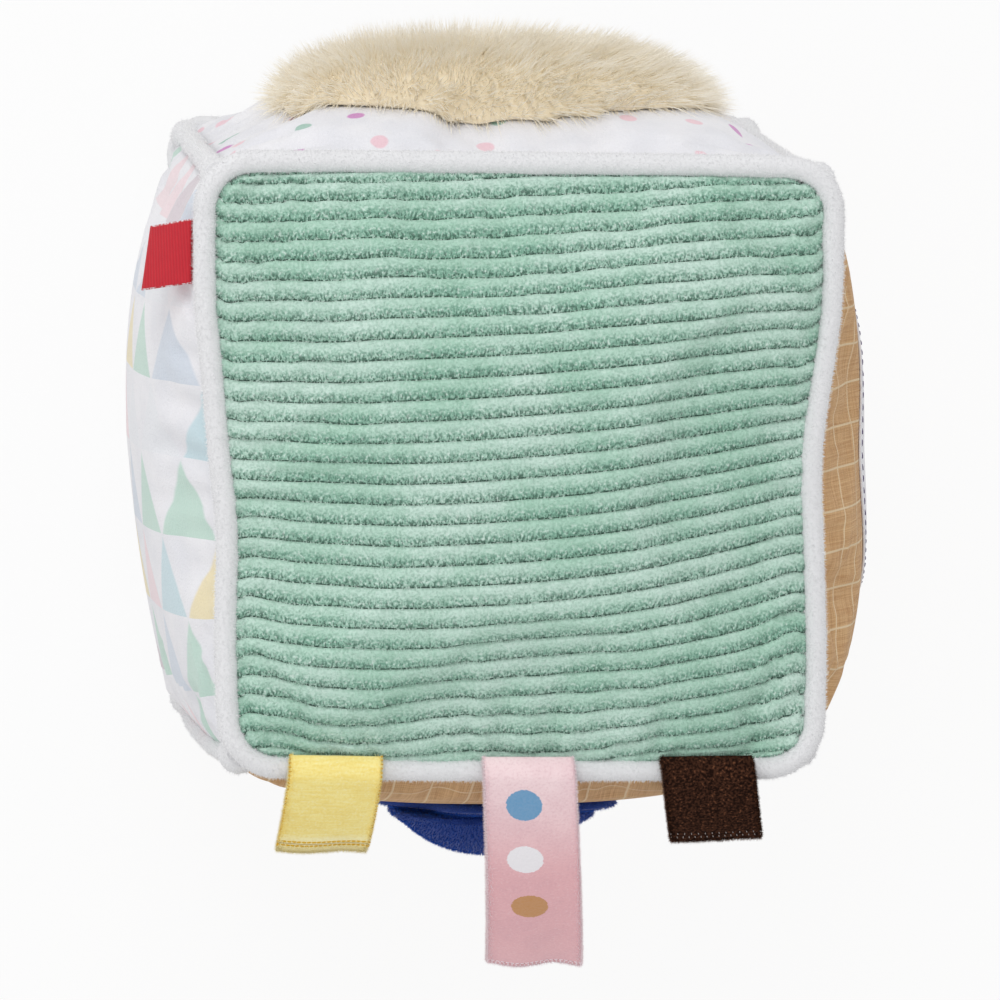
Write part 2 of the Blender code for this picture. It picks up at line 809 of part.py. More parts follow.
def tab_path(root, radius, length, extra, offset, droop_start, droop_end):
    """From the seam over the piping, then out and down. The length is counted from the seam."""
    wrap_turn = math.radians(TAB_ROOT_PLACE - 90 + droop_start)
    first = math.radians(TAB_ROOT_PLACE - 90)
    wrap = [first - wrap_turn * i / TAB_WRAP_POINTS for i in range(TAB_WRAP_POINTS)]
    free = drooping(droop_start, droop_end, TAB_FREE_POINTS)
    wrap_length = radius * wrap_turn
    steps = [wrap_length / TAB_WRAP_POINTS] * TAB_WRAP_POINTS
    steps += [(length - wrap_length) / TAB_FREE_POINTS] * TAB_FREE_POINTS
    headings = wrap + free
    if extra:
        headings.append(headings[-1])
        steps.append(extra)
    return strip_path(root, headings, steps, offset)


def build_strip(name, path, frame, hinge_place, width, slant, thickness, material, collection, hinge):
    """A ribbon: the path drawn in the seam's upright plane, made wide along the seam and slanted."""
    seam, along, up, out = frame
    slide = along * math.tan(math.radians(slant))
    bm = bmesh.new()
    rows = grid_rows(bm, TAB_CELLS_ACROSS, len(path) - 1)
    for row, place in zip(rows, path):
        middle = seam + out * place.x + up * place.y - hinge_place
        middle += slide * (place - path[0]).length
        for point in row:
            point.co = middle + along * (point.co.x * width / 2)
    strip = mesh_object(name, bm, material, collection, hinge)
    add_thickness(strip, thickness, 0)
    return strip


def build_tab(name, along, width, length, slant, droops, materials, collection, parent):
    """A front ply and a slightly longer back ply, both hinged where they enter the seam."""
    half_seam = (FRONT_BOTTOM_LEFT_REACH + FRONT_BOTTOM_RIGHT_REACH) / 2
    frame = seam_frame("bottom", along / half_seam)
    seam, _, up, out = frame
    middle = PIPING_RADIUS + TAB_GAP + PLY_THICKNESS + PLY_GAP / 2
    ply_offset = (PLY_THICKNESS + PLY_GAP) / 2
    root = on_piping(middle, TAB_ROOT_PLACE)
    hinge_place = seam + out * root.x + up * root.y
    hinge = add_hinge(name + "_hinge", hinge_place, parent, collection)
    front_path = tab_path(root, middle, length, 0, ply_offset, *droops)
    back_path = tab_path(root, middle, length, BACK_PLY_LONGER, -ply_offset, *droops)
    for ply, path in (("front", front_path), ("back", back_path)):
        build_strip(
            f"{name}_{ply}",
            path,
            frame,
            hinge_place,
            width,
            slant,
            PLY_THICKNESS,
            materials[ply],
            collection,
            hinge,
        )


def build_label(material, collection, parent):
    """One strip of tape folded at its outer end, both ends sewn into the seam under the piping."""
    frame = seam_frame("left", side_share(LABEL_ALONG))
    seam, _, up, out = frame
    half = LABEL_FOLD_RADIUS + LABEL_PLY / 2
    middle = PIPING_RADIUS + LABEL_GAP + half
    root = on_piping(middle, LABEL_ROOT_PLACE)
    hinge_place = seam + out * root.x + up * root.y
    hinge = add_hinge("side_label_hinge", hinge_place, parent, collection)
    headings = drooping(LABEL_DROOP_START, LABEL_DROOP_END, LABEL_STEPS)
    steps = [LABEL_LENGTH / LABEL_STEPS] * LABEL_STEPS
    upper = strip_path(root, headings, steps, LABEL_FOLD_RADIUS)
    lower = strip_path(root, headings, steps, -LABEL_FOLD_RADIUS)
    fold_middle = (upper[-1] + lower[-1]) / 2
    fold = []
    for number in range(1, FOLD_POINTS + 1):
        turn = headings[-1] + math.pi / 2 - math.pi * number / (FOLD_POINTS + 1)
        fold.append(fold_middle + Vector((math.cos(turn), math.sin(turn))) * LABEL_FOLD_RADIUS)
    build_strip(
        "side_label",
        upper + fold + lower[::-1],
        frame,
        hinge_place,
        LABEL_WIDTH,
        LABEL_SLANT,
        LABEL_PLY,
        material,
        collection,
        hinge,
    )


def stand_on_origin(collection, block):
    """Moves the whole block so that the origin is under the middle of its box, at rest level."""
    bpy.context.view_layer.update()
    graph = bpy.context.evaluated_depsgraph_get()
    places = []
    for obj in collection.objects:
        if obj.type != "EMPTY":
            evaluated = obj.evaluated_get(graph)
            places += [evaluated.matrix_world @ point.co for point in evaluated.to_mesh().vertices]
            evaluated.to_mesh_clear()
    low = [min(place[axis] for place in places) for axis in range(3)]
    high = [max(place[axis] for place in places) for axis in range(3)]
    block.location = (-(low[0] + high[0]) / 2, -(low[1] + high[1]) / 2, -low[2])


def main():
    clear_scene()
    collection = new_collection("soft_fabric_block")
    cutters = new_collection("cutters")
    block = add_hinge("block_middle", (0, 0, 0), None, collection)
    mint = make_material("mint_ribbed_plush", (0.30, 0.52, 0.40), 0.9)
    velour = make_material("white_velour", (0.84, 0.84, 0.87), 0.85)
    linen = make_material("tan_linen", (0.56, 0.31, 0.12), 0.8)
    terry = make_material("white_terry", (0.86, 0.86, 0.88), 0.9)
    fur = make_material("beige_fur", (0.70, 0.60, 0.40), 0.9)
    wadding = make_material("white_wadding", (0.80, 0.80, 0.80), 0.95)
    navy = make_material("navy_plush", (0.01, 0.02, 0.13), 0.8)
    lilac = make_material("lilac_velour", (0.70, 0.62, 0.76), 0.85)
    shell = make_material("clear_shell", (0.80, 0.82, 0.85), 0.3)
    bead = make_material("steel_bead", (0.60, 0.60, 0.62), 0.3, 1.0)
    yellow = make_material("yellow_satin", (0.82, 0.67, 0.19), 0.4)
    pale_yellow = make_material("pale_yellow_plush", (0.80, 0.75, 0.55), 0.85)
    pink = make_material("pink_velour", (0.79, 0.50, 0.53), 0.8)
    pale_pink = make_material("pale_pink_plush", (0.84, 0.64, 0.65), 0.85)
    brown = make_material("dark_brown_plush", (0.05, 0.02, 0.012), 0.8)
    soft_brown = make_material("soft_brown_plush", (0.14, 0.08, 0.05), 0.85)
    red = make_material("red_twill", (0.60, 0.02, 0.03), 0.7)

    build_front_panel(mint, collection, block)
    build_rear_panel(velour, collection, cutters, block)
    for side, material in (("left", velour), ("right", linen), ("top", velour), ("bottom", linen)):
        build_side_panel(side, material, collection, block)
    build_piping(terry, collection, block)

    pocket = build_pocket_cutter(cutters, block)
    build_wadding_half("upper_wadding", True, pocket, wadding, collection, block)
    build_wadding_half("lower_wadding", False, pocket, wadding, collection, block)
    build_rattle(shell, bead, collection, block)

    patch_materials = {"fur": fur, "navy": navy, "lilac": lilac, "wadding": wadding}
    build_patches(patch_materials, collection, block)

    short_droops = (SHORT_DROOP_START, SHORT_DROOP_END)
    pink_droops = (PINK_DROOP_START, PINK_DROOP_END)
    yellow_size = (YELLOW_TAB_ALONG, YELLOW_TAB_WIDTH, YELLOW_TAB_LENGTH, YELLOW_SLANT)
    pink_size = (PINK_TAB_ALONG, PINK_TAB_WIDTH, PINK_TAB_LENGTH, PINK_SLANT)
    brown_size = (BROWN_TAB_ALONG, BROWN_TAB_WIDTH, BROWN_TAB_LENGTH, BROWN_SLANT)
    tabs = (
        ("yellow_tab", *yellow_size, short_droops, {"front": yellow, "back": pale_yellow}),
        ("pink_tab", *pink_size, pink_droops, {"front": pink, "back": pale_pink}),
        ("brown_tab", *brown_size, short_droops, {"front": brown, "back": soft_brown}),
    )
    for tab in tabs:
        build_tab(*tab, collection, block)
    build_label(red, collection, block)
    stand_on_origin(collection, block)


main()
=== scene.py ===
# %% [markdown]
# # A soft fabric block
# This is a stuffed baby's block: six sewn cloth panels with a fuzzy piping in every seam, padded
# patches on two sides, three cloth tabs and a folded label. It lies on its rear panel and is seen
# from above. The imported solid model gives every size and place, so it is loaded first and nothing
# has to be fitted to it later.

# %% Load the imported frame
import math

import bmesh
import bpy
import numpy as np
from mathutils import Matrix, Vector


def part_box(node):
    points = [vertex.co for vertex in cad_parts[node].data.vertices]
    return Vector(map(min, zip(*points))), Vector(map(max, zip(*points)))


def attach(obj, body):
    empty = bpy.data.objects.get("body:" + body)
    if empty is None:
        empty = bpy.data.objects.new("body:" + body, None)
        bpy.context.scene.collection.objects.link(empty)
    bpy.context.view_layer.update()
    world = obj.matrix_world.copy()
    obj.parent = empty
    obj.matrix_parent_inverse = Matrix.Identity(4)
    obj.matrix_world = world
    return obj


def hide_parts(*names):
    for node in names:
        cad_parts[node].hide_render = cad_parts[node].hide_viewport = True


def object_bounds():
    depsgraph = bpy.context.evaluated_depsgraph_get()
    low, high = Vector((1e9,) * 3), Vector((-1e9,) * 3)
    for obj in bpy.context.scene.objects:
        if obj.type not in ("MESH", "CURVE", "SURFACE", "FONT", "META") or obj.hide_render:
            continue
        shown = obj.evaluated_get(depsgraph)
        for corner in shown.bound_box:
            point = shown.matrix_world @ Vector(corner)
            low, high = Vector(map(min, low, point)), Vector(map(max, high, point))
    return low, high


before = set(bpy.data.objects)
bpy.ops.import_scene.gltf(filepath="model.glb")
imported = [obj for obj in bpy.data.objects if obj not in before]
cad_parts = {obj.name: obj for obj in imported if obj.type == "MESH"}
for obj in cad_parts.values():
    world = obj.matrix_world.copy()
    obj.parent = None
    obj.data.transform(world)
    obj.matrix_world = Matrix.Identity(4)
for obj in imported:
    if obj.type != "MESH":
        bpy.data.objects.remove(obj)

cad_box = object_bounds()
print("solid model's box, mm:", [round(1000 * (h - l), 1) for l, h in zip(*cad_box)])

# %% [markdown]
# ## Helpers for node trees
# Materials and Geometry Nodes trees are both made of nodes. Written out one by one they hide the idea
# of a material, so a node's output is wrapped in a small class that adds and multiplies as a number
# does, and each step puts a node in the tree. Colours are written as they look on a screen, from 0 to
# 255, and turned into the linear values that Blender works in.


# %% Node helpers
class Out:
    """A node's output. Sums with it add nodes to its tree."""

    def __init__(self, socket):
        self.socket = socket
        self.tree = socket.id_data

    def __add__(self, other):
        return reckon("ADD", self, other)

    def __sub__(self, other):
        return reckon("SUBTRACT", self, other)

    def __rsub__(self, other):
        return reckon("SUBTRACT", other, self)

    def __mul__(self, other):
        return reckon("MULTIPLY", self, other)

    def __truediv__(self, other):
        return reckon("DIVIDE", self, other)

    def __rtruediv__(self, other):
        return reckon("DIVIDE", other, self)

    def __abs__(self):
        return reckon("ABSOLUTE", self)


def put(tree, kind, sockets=None, out=0, **settings):
    """Adds a node with its settings and gives one output, or several when out names several."""
    node = tree.nodes.new(kind)
    for name, value in settings.items():
        setattr(node, name, value)
    for key, value in (sockets or {}).items():
        if isinstance(value, Out):
            tree.links.new(value.socket, node.inputs[key])
        else:
            node.inputs[key].default_value = value
    if isinstance(out, tuple):
        return [Out(node.outputs[key]) for key in out]
    return Out(node.outputs[out])


def tree_of(*values):
    return next(value.tree for value in values if isinstance(value, Out))


def reckon(operation, *values):
    """A sum of numbers or of vectors. A vector is multiplied by a number."""
    tree = tree_of(*values)
    sockets = dict(enumerate(values))
    kinds = [value.socket.type for value in values if isinstance(value, Out)]
    if "VECTOR" not in kinds and "RGBA" not in kinds:
        return put(tree, "ShaderNodeMath", sockets, operation=operation)
    if operation == "MULTIPLY":
        sockets, operation = {0: values[0], "Scale": values[1]}, "SCALE"
    out = "Value" if operation == "LENGTH" else "Vector"
    return put(tree, "ShaderNodeVectorMath", sockets, out, operation=operation)


def vector(x, y, z=0.0):
    return put(tree_of(x, y, z), "ShaderNodeCombineXYZ", {0: x, 1: y, 2: z})


def dye(red, green, blue):
    """A colour as it looks on a screen, as linear light."""
    def linear(value):
        value = value / 255
        return value / 12.92 if value < 0.04045 else ((value + 0.055) / 1.055) ** 2.4
    return (linear(red), linear(green), linear(blue), 1.0)


def mixed(share, first, second):
    """A share of the second colour in the first; a colour is an output or red, green and blue."""
    first, second = (value if isinstance(value, Out) else dye(*value) for value in (first, second))
    tree = tree_of(share, first, second)
    return put(tree, "ShaderNodeMix", {0: share, 6: first, 7: second}, 2, data_type="RGBA")


def fade(value, start, end):
    """0 where the value is at its start and 1 where it is at its end, smooth between them."""
    sockets = {"Value": value, "From Min": start, "From Max": end}
    return put(value.tree, "ShaderNodeMapRange", sockets, interpolation_type="SMOOTHSTEP")


def cloudy(place, scale, detail=2.0, out="Fac"):
    sockets = {"Vector": place, "Scale": scale, "Detail": detail}
    return put(place.tree, "ShaderNodeTexNoise", sockets, out)


# %% Material helpers
def new_material(name, roughness, sheen=0.0, specular=0.25, metallic=0.0):
    material = bpy.data.materials.new(name)
    material.use_nodes = True
    inputs = material.node_tree.nodes["Principled BSDF"].inputs
    inputs["Roughness"].default_value = roughness
    inputs["Sheen Weight"].default_value = sheen
    inputs["Sheen Roughness"].default_value = 0.5
    inputs["Specular IOR Level"].default_value = specular
    inputs["Metallic"].default_value = metallic
    return material, material.node_tree


def finished(material, colour, height, strength, distance, rough=None):
    """Gives a material its colour, its fine relief and, where it varies, its roughness."""
    tree = material.node_tree
    relief = put(tree, "ShaderNodeBump", {"Height": height, "Strength": strength, "Distance": distance})
    for label, value in (("Base Color", colour), ("Normal", relief), ("Roughness", rough)):
        if value:
            tree.links.new(value.socket, tree.nodes["Principled BSDF"].inputs[label])
    return material


def attribute(tree, name):
    return put(tree, "ShaderNodeAttribute", out="Fac", attribute_name=name)


def cloth_map(tree):
    """Lengths in metres across and up a cloth."""
    place = put(tree, "ShaderNodeUVMap", uv_map="cloth")
    return put(tree, "ShaderNodeSeparateXYZ", {0: place}, ("X", "Y"))


def object_place(tree):
    return put(tree, "ShaderNodeTexCoord", out="Object")


# %% [markdown]
# ## Helpers for Geometry Nodes
# Ribs, hairs, stitches and pipings repeat or follow a path, so Geometry Nodes trees make them. A tree
# gets named inputs, ends in Realize Instances and Set Material, and is run once: its result is kept
# as a plain mesh, so no modifier is left on a finished piece.


# %% Geometry Nodes helpers
def new_tree(name, **inputs):
    """An empty tree with named inputs; gives the tree and what its inputs hold."""
    kinds = {float: "NodeSocketFloat", int: "NodeSocketInt", tuple: "NodeSocketVector"}
    tree = bpy.data.node_groups.new(name, "GeometryNodeTree")
    face = tree.interface
    face.new_socket("Geometry", in_out="OUTPUT", socket_type="NodeSocketGeometry")
    face.new_socket("Geometry", in_out="INPUT", socket_type="NodeSocketGeometry")
    for label, value in inputs.items():
        socket = face.new_socket(label, in_out="INPUT", socket_type=kinds[type(value)])
        socket.default_value = value
    face.new_socket("Material", in_out="INPUT", socket_type="NodeSocketMaterial")
    outputs = tree.nodes.new("NodeGroupInput").outputs
    return tree, {socket.name: Out(socket) for socket in outputs if socket.name}


def close_tree(geometry, given):
    """Ends a tree with real geometry in the given material, and gives the tree."""
    tree = geometry.tree
    real = put(tree, "GeometryNodeRealizeInstances", {0: geometry})
    dressed = put(tree, "GeometryNodeSetMaterial", {"Geometry": real, "Material": given["Material"]})
    put(tree, "NodeGroupOutput", {0: dressed}, ())
    return tree


def named(tree, name):
    return put(tree, "GeometryNodeInputNamedAttribute", {"Name": name}, data_type="FLOAT")


def stored(geometry, name, value, domain="POINT"):
    sockets = {"Geometry": geometry, "Name": name, "Value": value}
    kinds = {"data_type": "FLOAT", "domain": domain}
    return put(geometry.tree, "GeometryNodeStoreNamedAttribute", sockets, **kinds)


def shifted(geometry, offset):
    return put(geometry.tree, "GeometryNodeSetPosition", {"Geometry": geometry, "Offset": offset})


def smooth(geometry):
    return put(geometry.tree, "GeometryNodeSetShadeSmooth", {"Geometry": geometry})


def chance(tree, low, high, seed):
    """A random number or vector for each point."""
    if isinstance(low, tuple):
        sockets = {0: low, 1: high, "Seed": seed}
        return put(tree, "FunctionNodeRandomValue", sockets, data_type="FLOAT_VECTOR")
    sockets = {2: low, 3: high, "Seed": seed}
    return put(tree, "FunctionNodeRandomValue", sockets, 1, data_type="FLOAT")


def planted(points, instance, rotation, scale):
    sockets = {"Points": points, "Instance": instance, "Rotation": rotation, "Scale": scale}
    return put(points.tree, "GeometryNodeInstanceOnPoints", sockets)


# %% Keeping results
def add_to_scene(name, data):
    obj = bpy.data.objects.new(name, data)
    bpy.context.scene.collection.objects.link(obj)
    return obj


def settled_mesh(obj):
    """The mesh that an object's modifiers give."""
    graph = bpy.context.evaluated_depsgraph_get()
    return bpy.data.meshes.new_from_object(
        obj.evaluated_get(graph), preserve_all_data_layers=True, depsgraph=graph
    )


def kept(source, modifier, name, material):
    """What a source's modifier gives, as a new plain object in one material."""
    obj = add_to_scene(name, settled_mesh(source))
    source.modifiers.remove(modifier)
    obj.data.materials.clear()
    obj.data.materials.append(material)
    return obj


def grown(source, tree, name, material, **values):
    """Runs a tree on a source object."""
    modifier = source.modifiers.new(tree.name, "NODES")
    modifier.node_group = tree
    values["Material"] = material
    for item in tree.interface.items_tree:
        if item.in_out == "INPUT" and item.name in values:
            modifier[item.identifier] = values[item.name]
    return kept(source, modifier, name, material)


def thickened(source, name, thickness, offset, material):
    """A copy of a sheet with the cloth's thickness."""
    solidify = source.modifiers.new("cloth thickness", "SOLIDIFY")
    solidify.thickness = thickness
    solidify.offset = offset
    return kept(source, solidify, name, material)


def drop(*helpers):
    for helper in helpers:
        bpy.data.objects.remove(helper)


def done(obj, body, slot, *nodes):
    """A finished piece rides on its body and stands for its solids; its slot is not used."""
    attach(obj, body)
    if nodes:
        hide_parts(*nodes)
    print(obj.name, "faces:", len(obj.data.polygons))
    return obj


# %% [markdown]
# ## The camera
# The photograph looks almost straight down from far away. A camera about 1.25 m off with a long lens
# gives the same small difference in size between the front face and the rear corners. It leans a
# little, so that the top panel and the left panel show.

# %% Sizes of the stuffed form, as in the solid model
DEPTH = 0.150
REAR_REACH = 0.075
REAR_WIDE_REACH = 0.079
CORNER_ROUND = 0.012
SIDE_CROWN = 0.0135
FRONT_CROWN = 0.013
REAR_CROWN = 0.008
SEAM_DIP = 0.002
SWELL_POWER = 2.8
PIPING_RADIUS = 0.0030
RATTLE_GAP = 0.0003

# %% Front corners, each left and then right
FRONT_TOP_X = (-0.0763, 0.0761)
FRONT_BOTTOM_X = (-0.0708, 0.0713)
FRONT_TOP_Y = (0.0730, 0.0708)
FRONT_BOTTOM_Y = (-0.0719, -0.0742)

# %% How far edges are drawn in between their corners
REAR_PULL = 0.0065
FRONT_LEFT_PULL = 0.0005
FRONT_RIGHT_PULL = 0.0020
FRONT_TOP_PULL = -0.0003
FRONT_BOTTOM_PULL = -0.0012
DEPTH_EDGE_PULL = 0.003
BOTTOM_LEFT_EDGE_BULGE = 0.004

# %% Bends of the upright front seams, each a size and a share of the way up
LEFT_UPPER_BULGE = (0.0014, 0.59)
LEFT_NIP = (0.0016, -0.23)
RIGHT_UPPER_BULGE = (0.0018, 0.59)
RIGHT_NIP = (0.0015, 0.02)
RIGHT_LOWER_BULGE = (0.0011, -0.67)
BEND_SPREAD_SHARE = 0.25

# %% Uneven filling
RIGHT_SAG_SHARE = 0.45
SETTLED_EDGE = 0.0032
SETTLED_LEFT_SHARE = 0.4
SETTLED_RIGHT_SHARE = 0.3

rattle_low, rattle_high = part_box("rattle_upper_shell")
block_middle = np.array([
    (rattle_low.x + rattle_high.x) / 2,
    (rattle_low.y + rattle_high.y) / 2,
    rattle_low.z - RATTLE_GAP,
])
print("block's middle:", block_middle.round(4))

# %% Camera
CAMERA_AWAY = 1.25
CAMERA_AIM = Vector((-0.0055, -0.0084, DEPTH / 2))
LOOK = Vector((math.sin(math.radians(5.75)), -math.sin(math.radians(6)), -1)).normalized()

camera = add_to_scene("camera", bpy.data.cameras.new("camera"))
camera.data.sensor_width = 36
camera.data.lens = 187.5
camera_right = LOOK.cross(Vector((0, 1, 0))).normalized()
camera_axes = Matrix((camera_right, camera_right.cross(LOOK), -LOOK)).transposed()
camera.rotation_euler = camera_axes.to_euler()
camera.location = Vector(block_middle) + CAMERA_AIM - LOOK * CAMERA_AWAY
bpy.context.scene.camera = camera
print("camera at", [round(value, 3) for value in camera.location])

# %% [markdown]
# ## Floor and light
# The floor is plain and pale. What the camera sees of it is mostly white of its own, with a little
# of the block's shadow left in it. One wide soft lamp stands above the block's top side, so each rib
# is light on its upper half, and the world fills the rest evenly.


# %% Floor
WHITE = (1.0, 1.0, 1.0, 1.0)


def floor_material():
    material, tree = new_material("white_table", 0.9, specular=0.5)
    shader = tree.nodes["Principled BSDF"]
    shader.inputs["Base Color"].default_value = (0.8, 0.8, 0.8, 1.0)
    seen = put(tree, "ShaderNodeLightPath", out=("Is Camera Ray", "Is Glossy Ray"))
    share = reckon("MAXIMUM", *seen) * 0.9
    glow = put(tree, "ShaderNodeEmission", {"Color": WHITE, "Strength": 1.0})
    mix = put(tree, "ShaderNodeMixShader", {0: share, 1: Out(shader.outputs[0]), 2: glow})
    tree.links.new(mix.socket, tree.nodes["Material Output"].inputs["Surface"])
    return material


floor_mesh = bpy.data.meshes.new("floor")
floor_mesh.from_pydata([(-2, -2, 0), (2, -2, 0), (2, 2, 0), (-2, 2, 0)], [], [(0, 1, 2, 3)])
floor_mesh.materials.append(floor_material())
add_to_scene("floor", floor_mesh)

# %% World and lamps
scene = bpy.context.scene
scene.view_settings.view_transform = "Standard"
world = bpy.data.worlds.new("studio")
world.use_nodes = True
scene.world = world
fill = world.node_tree.nodes["Background"]
fill.inputs["Color"].default_value = WHITE
level = put(world.node_tree, "ShaderNodeLightPath", out="Is Camera Ray") * 0.26 + 0.74
world.node_tree.links.new(level.socket, fill.inputs["Strength"])


def add_lamp(name, place, energy, size):
    lamp = add_to_scene(name, bpy.data.lights.new(name, "AREA"))
    lamp.data.energy = energy
    lamp.data.size = size
    lamp.location = place
    lamp.rotation_euler = (Vector(block_middle) - lamp.location).to_track_quat("-Z", "Y").to_euler()


add_lamp("key_lamp", Vector((-0.25, 0.95, 1.15)), 6.0, 0.7)
add_lamp("left_fill_lamp", Vector((-1.3, -0.2, 0.8)), 2.1, 0.8)

# %% [markdown]
# ## The stuffed form
# Each skin is a flat grid bent onto one stuffed form: eight seam corners, edges drawn in between
# them, and crowned faces. These are the same rules as in the solid model, written for whole arrays
# of points at once, because the cloth here has many more of them.


# %% The form for arrays of points
def blend(first, last, share):
    return first + (last - first) * share


def end_weight(t):
    return np.abs(t) ** SWELL_POWER


def middle_weight(t):
    return 1 - end_weight(t)


def seam_corner_place(x, y, z):
    right, top, front = (1 + x) / 2, (1 + y) / 2, (1 + z) / 2
    front_x = blend(blend(*FRONT_BOTTOM_X, right), blend(*FRONT_TOP_X, right), top)
    front_y = blend(blend(*FRONT_BOTTOM_Y, right), blend(*FRONT_TOP_Y, right), top)
    return (
        blend(x * REAR_WIDE_REACH, front_x, front),
        blend(y * REAR_WIDE_REACH, front_y, front),
        z * DEPTH / 2,
    )


def one_bend(y, size, place):
    return size * np.exp(-(((y - place) / BEND_SPREAD_SHARE) ** 2))


def seam_bend(x, y):
    """How far an upright front seam lies outside its smooth line."""
    left = one_bend(y, *LEFT_UPPER_BULGE) - one_bend(y, *LEFT_NIP)
    right = one_bend(y, *RIGHT_UPPER_BULGE) - one_bend(y, *RIGHT_NIP) + one_bend(y, *RIGHT_LOWER_BULGE)
    return np.where(x < 0, left, right)


def settle(x, y, z):
    """How far the photographed block's sides lie off the solid model's, which is filled more evenly."""
    edge = SETTLED_EDGE * np.where(y < 0, np.sign(x), 0) * middle_weight(z)
    share = np.where(x > 0, SETTLED_RIGHT_SHARE, -SETTLED_LEFT_SHARE) * np.where(x * y > 0, np.abs(y), 0)
    push_x = edge * end_weight(y) + SIDE_CROWN * share * middle_weight(y) * middle_weight(z)
    return np.stack((x * push_x, y * edge * end_weight(x) / 2, np.zeros_like(x)), axis=-1)


def swell(x, y, z):
    """Places on the stuffed block of points of a plain cube from -1 to 1 each way."""
    x, y, z = np.broadcast_arrays(x, y, z)
    pull_x = np.where(z < 0, REAR_PULL, np.where(x > 0, FRONT_RIGHT_PULL, FRONT_LEFT_PULL))
    pull_y = np.where(z < 0, REAR_PULL, np.where(y > 0, FRONT_TOP_PULL, FRONT_BOTTOM_PULL))
    edge_pull = np.where((x < 0) & (y < 0), -BOTTOM_LEFT_EDGE_BULGE, DEPTH_EDGE_PULL)
    crown_x = SIDE_CROWN * np.where(x > 0, 1 - RIGHT_SAG_SHARE * y, 1)
    crown_z = np.where(z > 0, FRONT_CROWN, REAR_CROWN)
    bend = seam_bend(x, y) * end_weight(x) * end_weight(z) * middle_weight(y)
    push_x = (
        crown_x * middle_weight(y) * middle_weight(z)
        - pull_x * middle_weight(y) * end_weight(z)
        - edge_pull * end_weight(y) * middle_weight(z)
        + np.where(z > 0, bend, 0)
    )
    push_y = (
        SIDE_CROWN * middle_weight(x) * middle_weight(z)
        - pull_y * middle_weight(x) * end_weight(z)
        - edge_pull * end_weight(x) * middle_weight(z)
    )
    dip = middle_weight(x) * end_weight(y) + middle_weight(y) * end_weight(x)
    push_z = crown_z * middle_weight(x) * middle_weight(y) - SEAM_DIP * dip
    at_x, at_y, at_z = seam_corner_place(x, y, z)
    places = np.stack((at_x + x * push_x, at_y + y * push_y, at_z + z * push_z), axis=-1)
    return places + settle(x, y, z) + block_middle


# %% Around the sides
QUARTER_TURNS = {"right": 0, "top": 1, "left": 2, "bottom": 3}
CORNER_SHARE = CORNER_ROUND / REAR_REACH
HALF_RUN = 1 - CORNER_SHARE * (1 - math.pi / 4)


def side_place(side, run, z):
    """A place from its run along the rounded square, from the middle of one side, and its height."""
    run, z = np.broadcast_arrays(run, z)
    straight = 1 - CORNER_SHARE
    turn = np.maximum(0, np.abs(run) - straight) / CORNER_SHARE
    x = straight + CORNER_SHARE * np.cos(turn)
    y = np.copysign(np.minimum(np.abs(run), straight) + CORNER_SHARE * np.sin(turn), run)
    for _ in range(QUARTER_TURNS[side]):
        x, y = -y, x
    return swell(x, y, z)


# %% [markdown]
# ## Cloth as grids
# A panel is kept as a grid of points while it is worked on: the simulation wants few points, and the
# finish wants many. Each grid also gets a UV map in metres along the cloth, so that a print or a weave
# has its real size wherever the cloth is stretched.


# %% Grid helpers
def unit(vectors):
    return vectors / np.linalg.norm(vectors, axis=-1, keepdims=True)


def cloth_lengths(grid):
    """Lengths in metres along the cloth, across and up, counted from the grid's middle."""
    lengths = []
    for axis in (1, 0):
        steps = np.linalg.norm(np.diff(grid, axis=axis), axis=-1)
        run = np.cumsum(np.insert(steps, 0, 0, axis=axis), axis=axis)
        middle = run.shape[axis] // 2
        lengths.append(run - np.take(run, [middle], axis=axis))
    return np.stack(lengths, axis=-1)


def cloth_size(grid):
    """A panel's width and height in metres along the middle lines of its cloth."""
    lengths = cloth_lengths(grid)
    rows, columns = grid.shape[:2]
    return np.ptp(lengths[rows // 2, :, 0]), np.ptp(lengths[:, columns // 2, 1])


def finer(grid, rows, columns):
    """The same surface with more points, on smooth curves through the coarse ones."""
    def along(values, count):
        places = np.linspace(0, len(values) - 1, count)
        start = np.clip(places.astype(int), 0, len(values) - 2)
        share = (places - start).reshape(-1, 1, 1)
        before = 2 * values[:1] - values[1:2]
        after = 2 * values[-1:] - values[-2:-1]
        padded = np.concatenate((before, values, after))
        a, b, c, d = (padded[start + step] for step in range(4))
        cubic = 3 * (b - c) + d - a
        return b + 0.5 * share * (c - a + share * (2 * a - 5 * b + 4 * c - d + share * cubic))
    tall = along(grid, rows)
    return along(tall.transpose(1, 0, 2), columns).transpose(1, 0, 2)


def grid_object(name, grid, lengths=None, **attributes):
    """A mesh of a grid of points, with its cloth map and its attributes."""
    rows, columns = grid.shape[:2]
    numbers = np.arange(rows * columns).reshape(rows, columns)
    corners = np.stack(
        (numbers[:-1, :-1], numbers[:-1, 1:], numbers[1:, 1:], numbers[1:, :-1]), axis=-1
    ).reshape(-1, 4)
    mesh = bpy.data.meshes.new(name)
    mesh.from_pydata(grid.reshape(-1, 3).tolist(), [], corners.tolist())
    if lengths is None:
        lengths = cloth_lengths(grid)
    layer = mesh.uv_layers.new(name="cloth")
    layer.uv.foreach_set("vector", lengths.reshape(-1, 2)[corners.ravel()].ravel())
    attributes.setdefault("pile", np.ones(rows * columns))
    for label, values in attributes.items():
        mesh.attributes.new(label, "FLOAT", "POINT").data.foreach_set("value", np.ravel(values))
    mesh.shade_smooth()
    return add_to_scene(name, mesh)


def points_of(mesh):
    points = np.empty(len(mesh.vertices) * 3)
    mesh.vertices.foreach_get("co", points)
    return points.reshape(-1, 3)


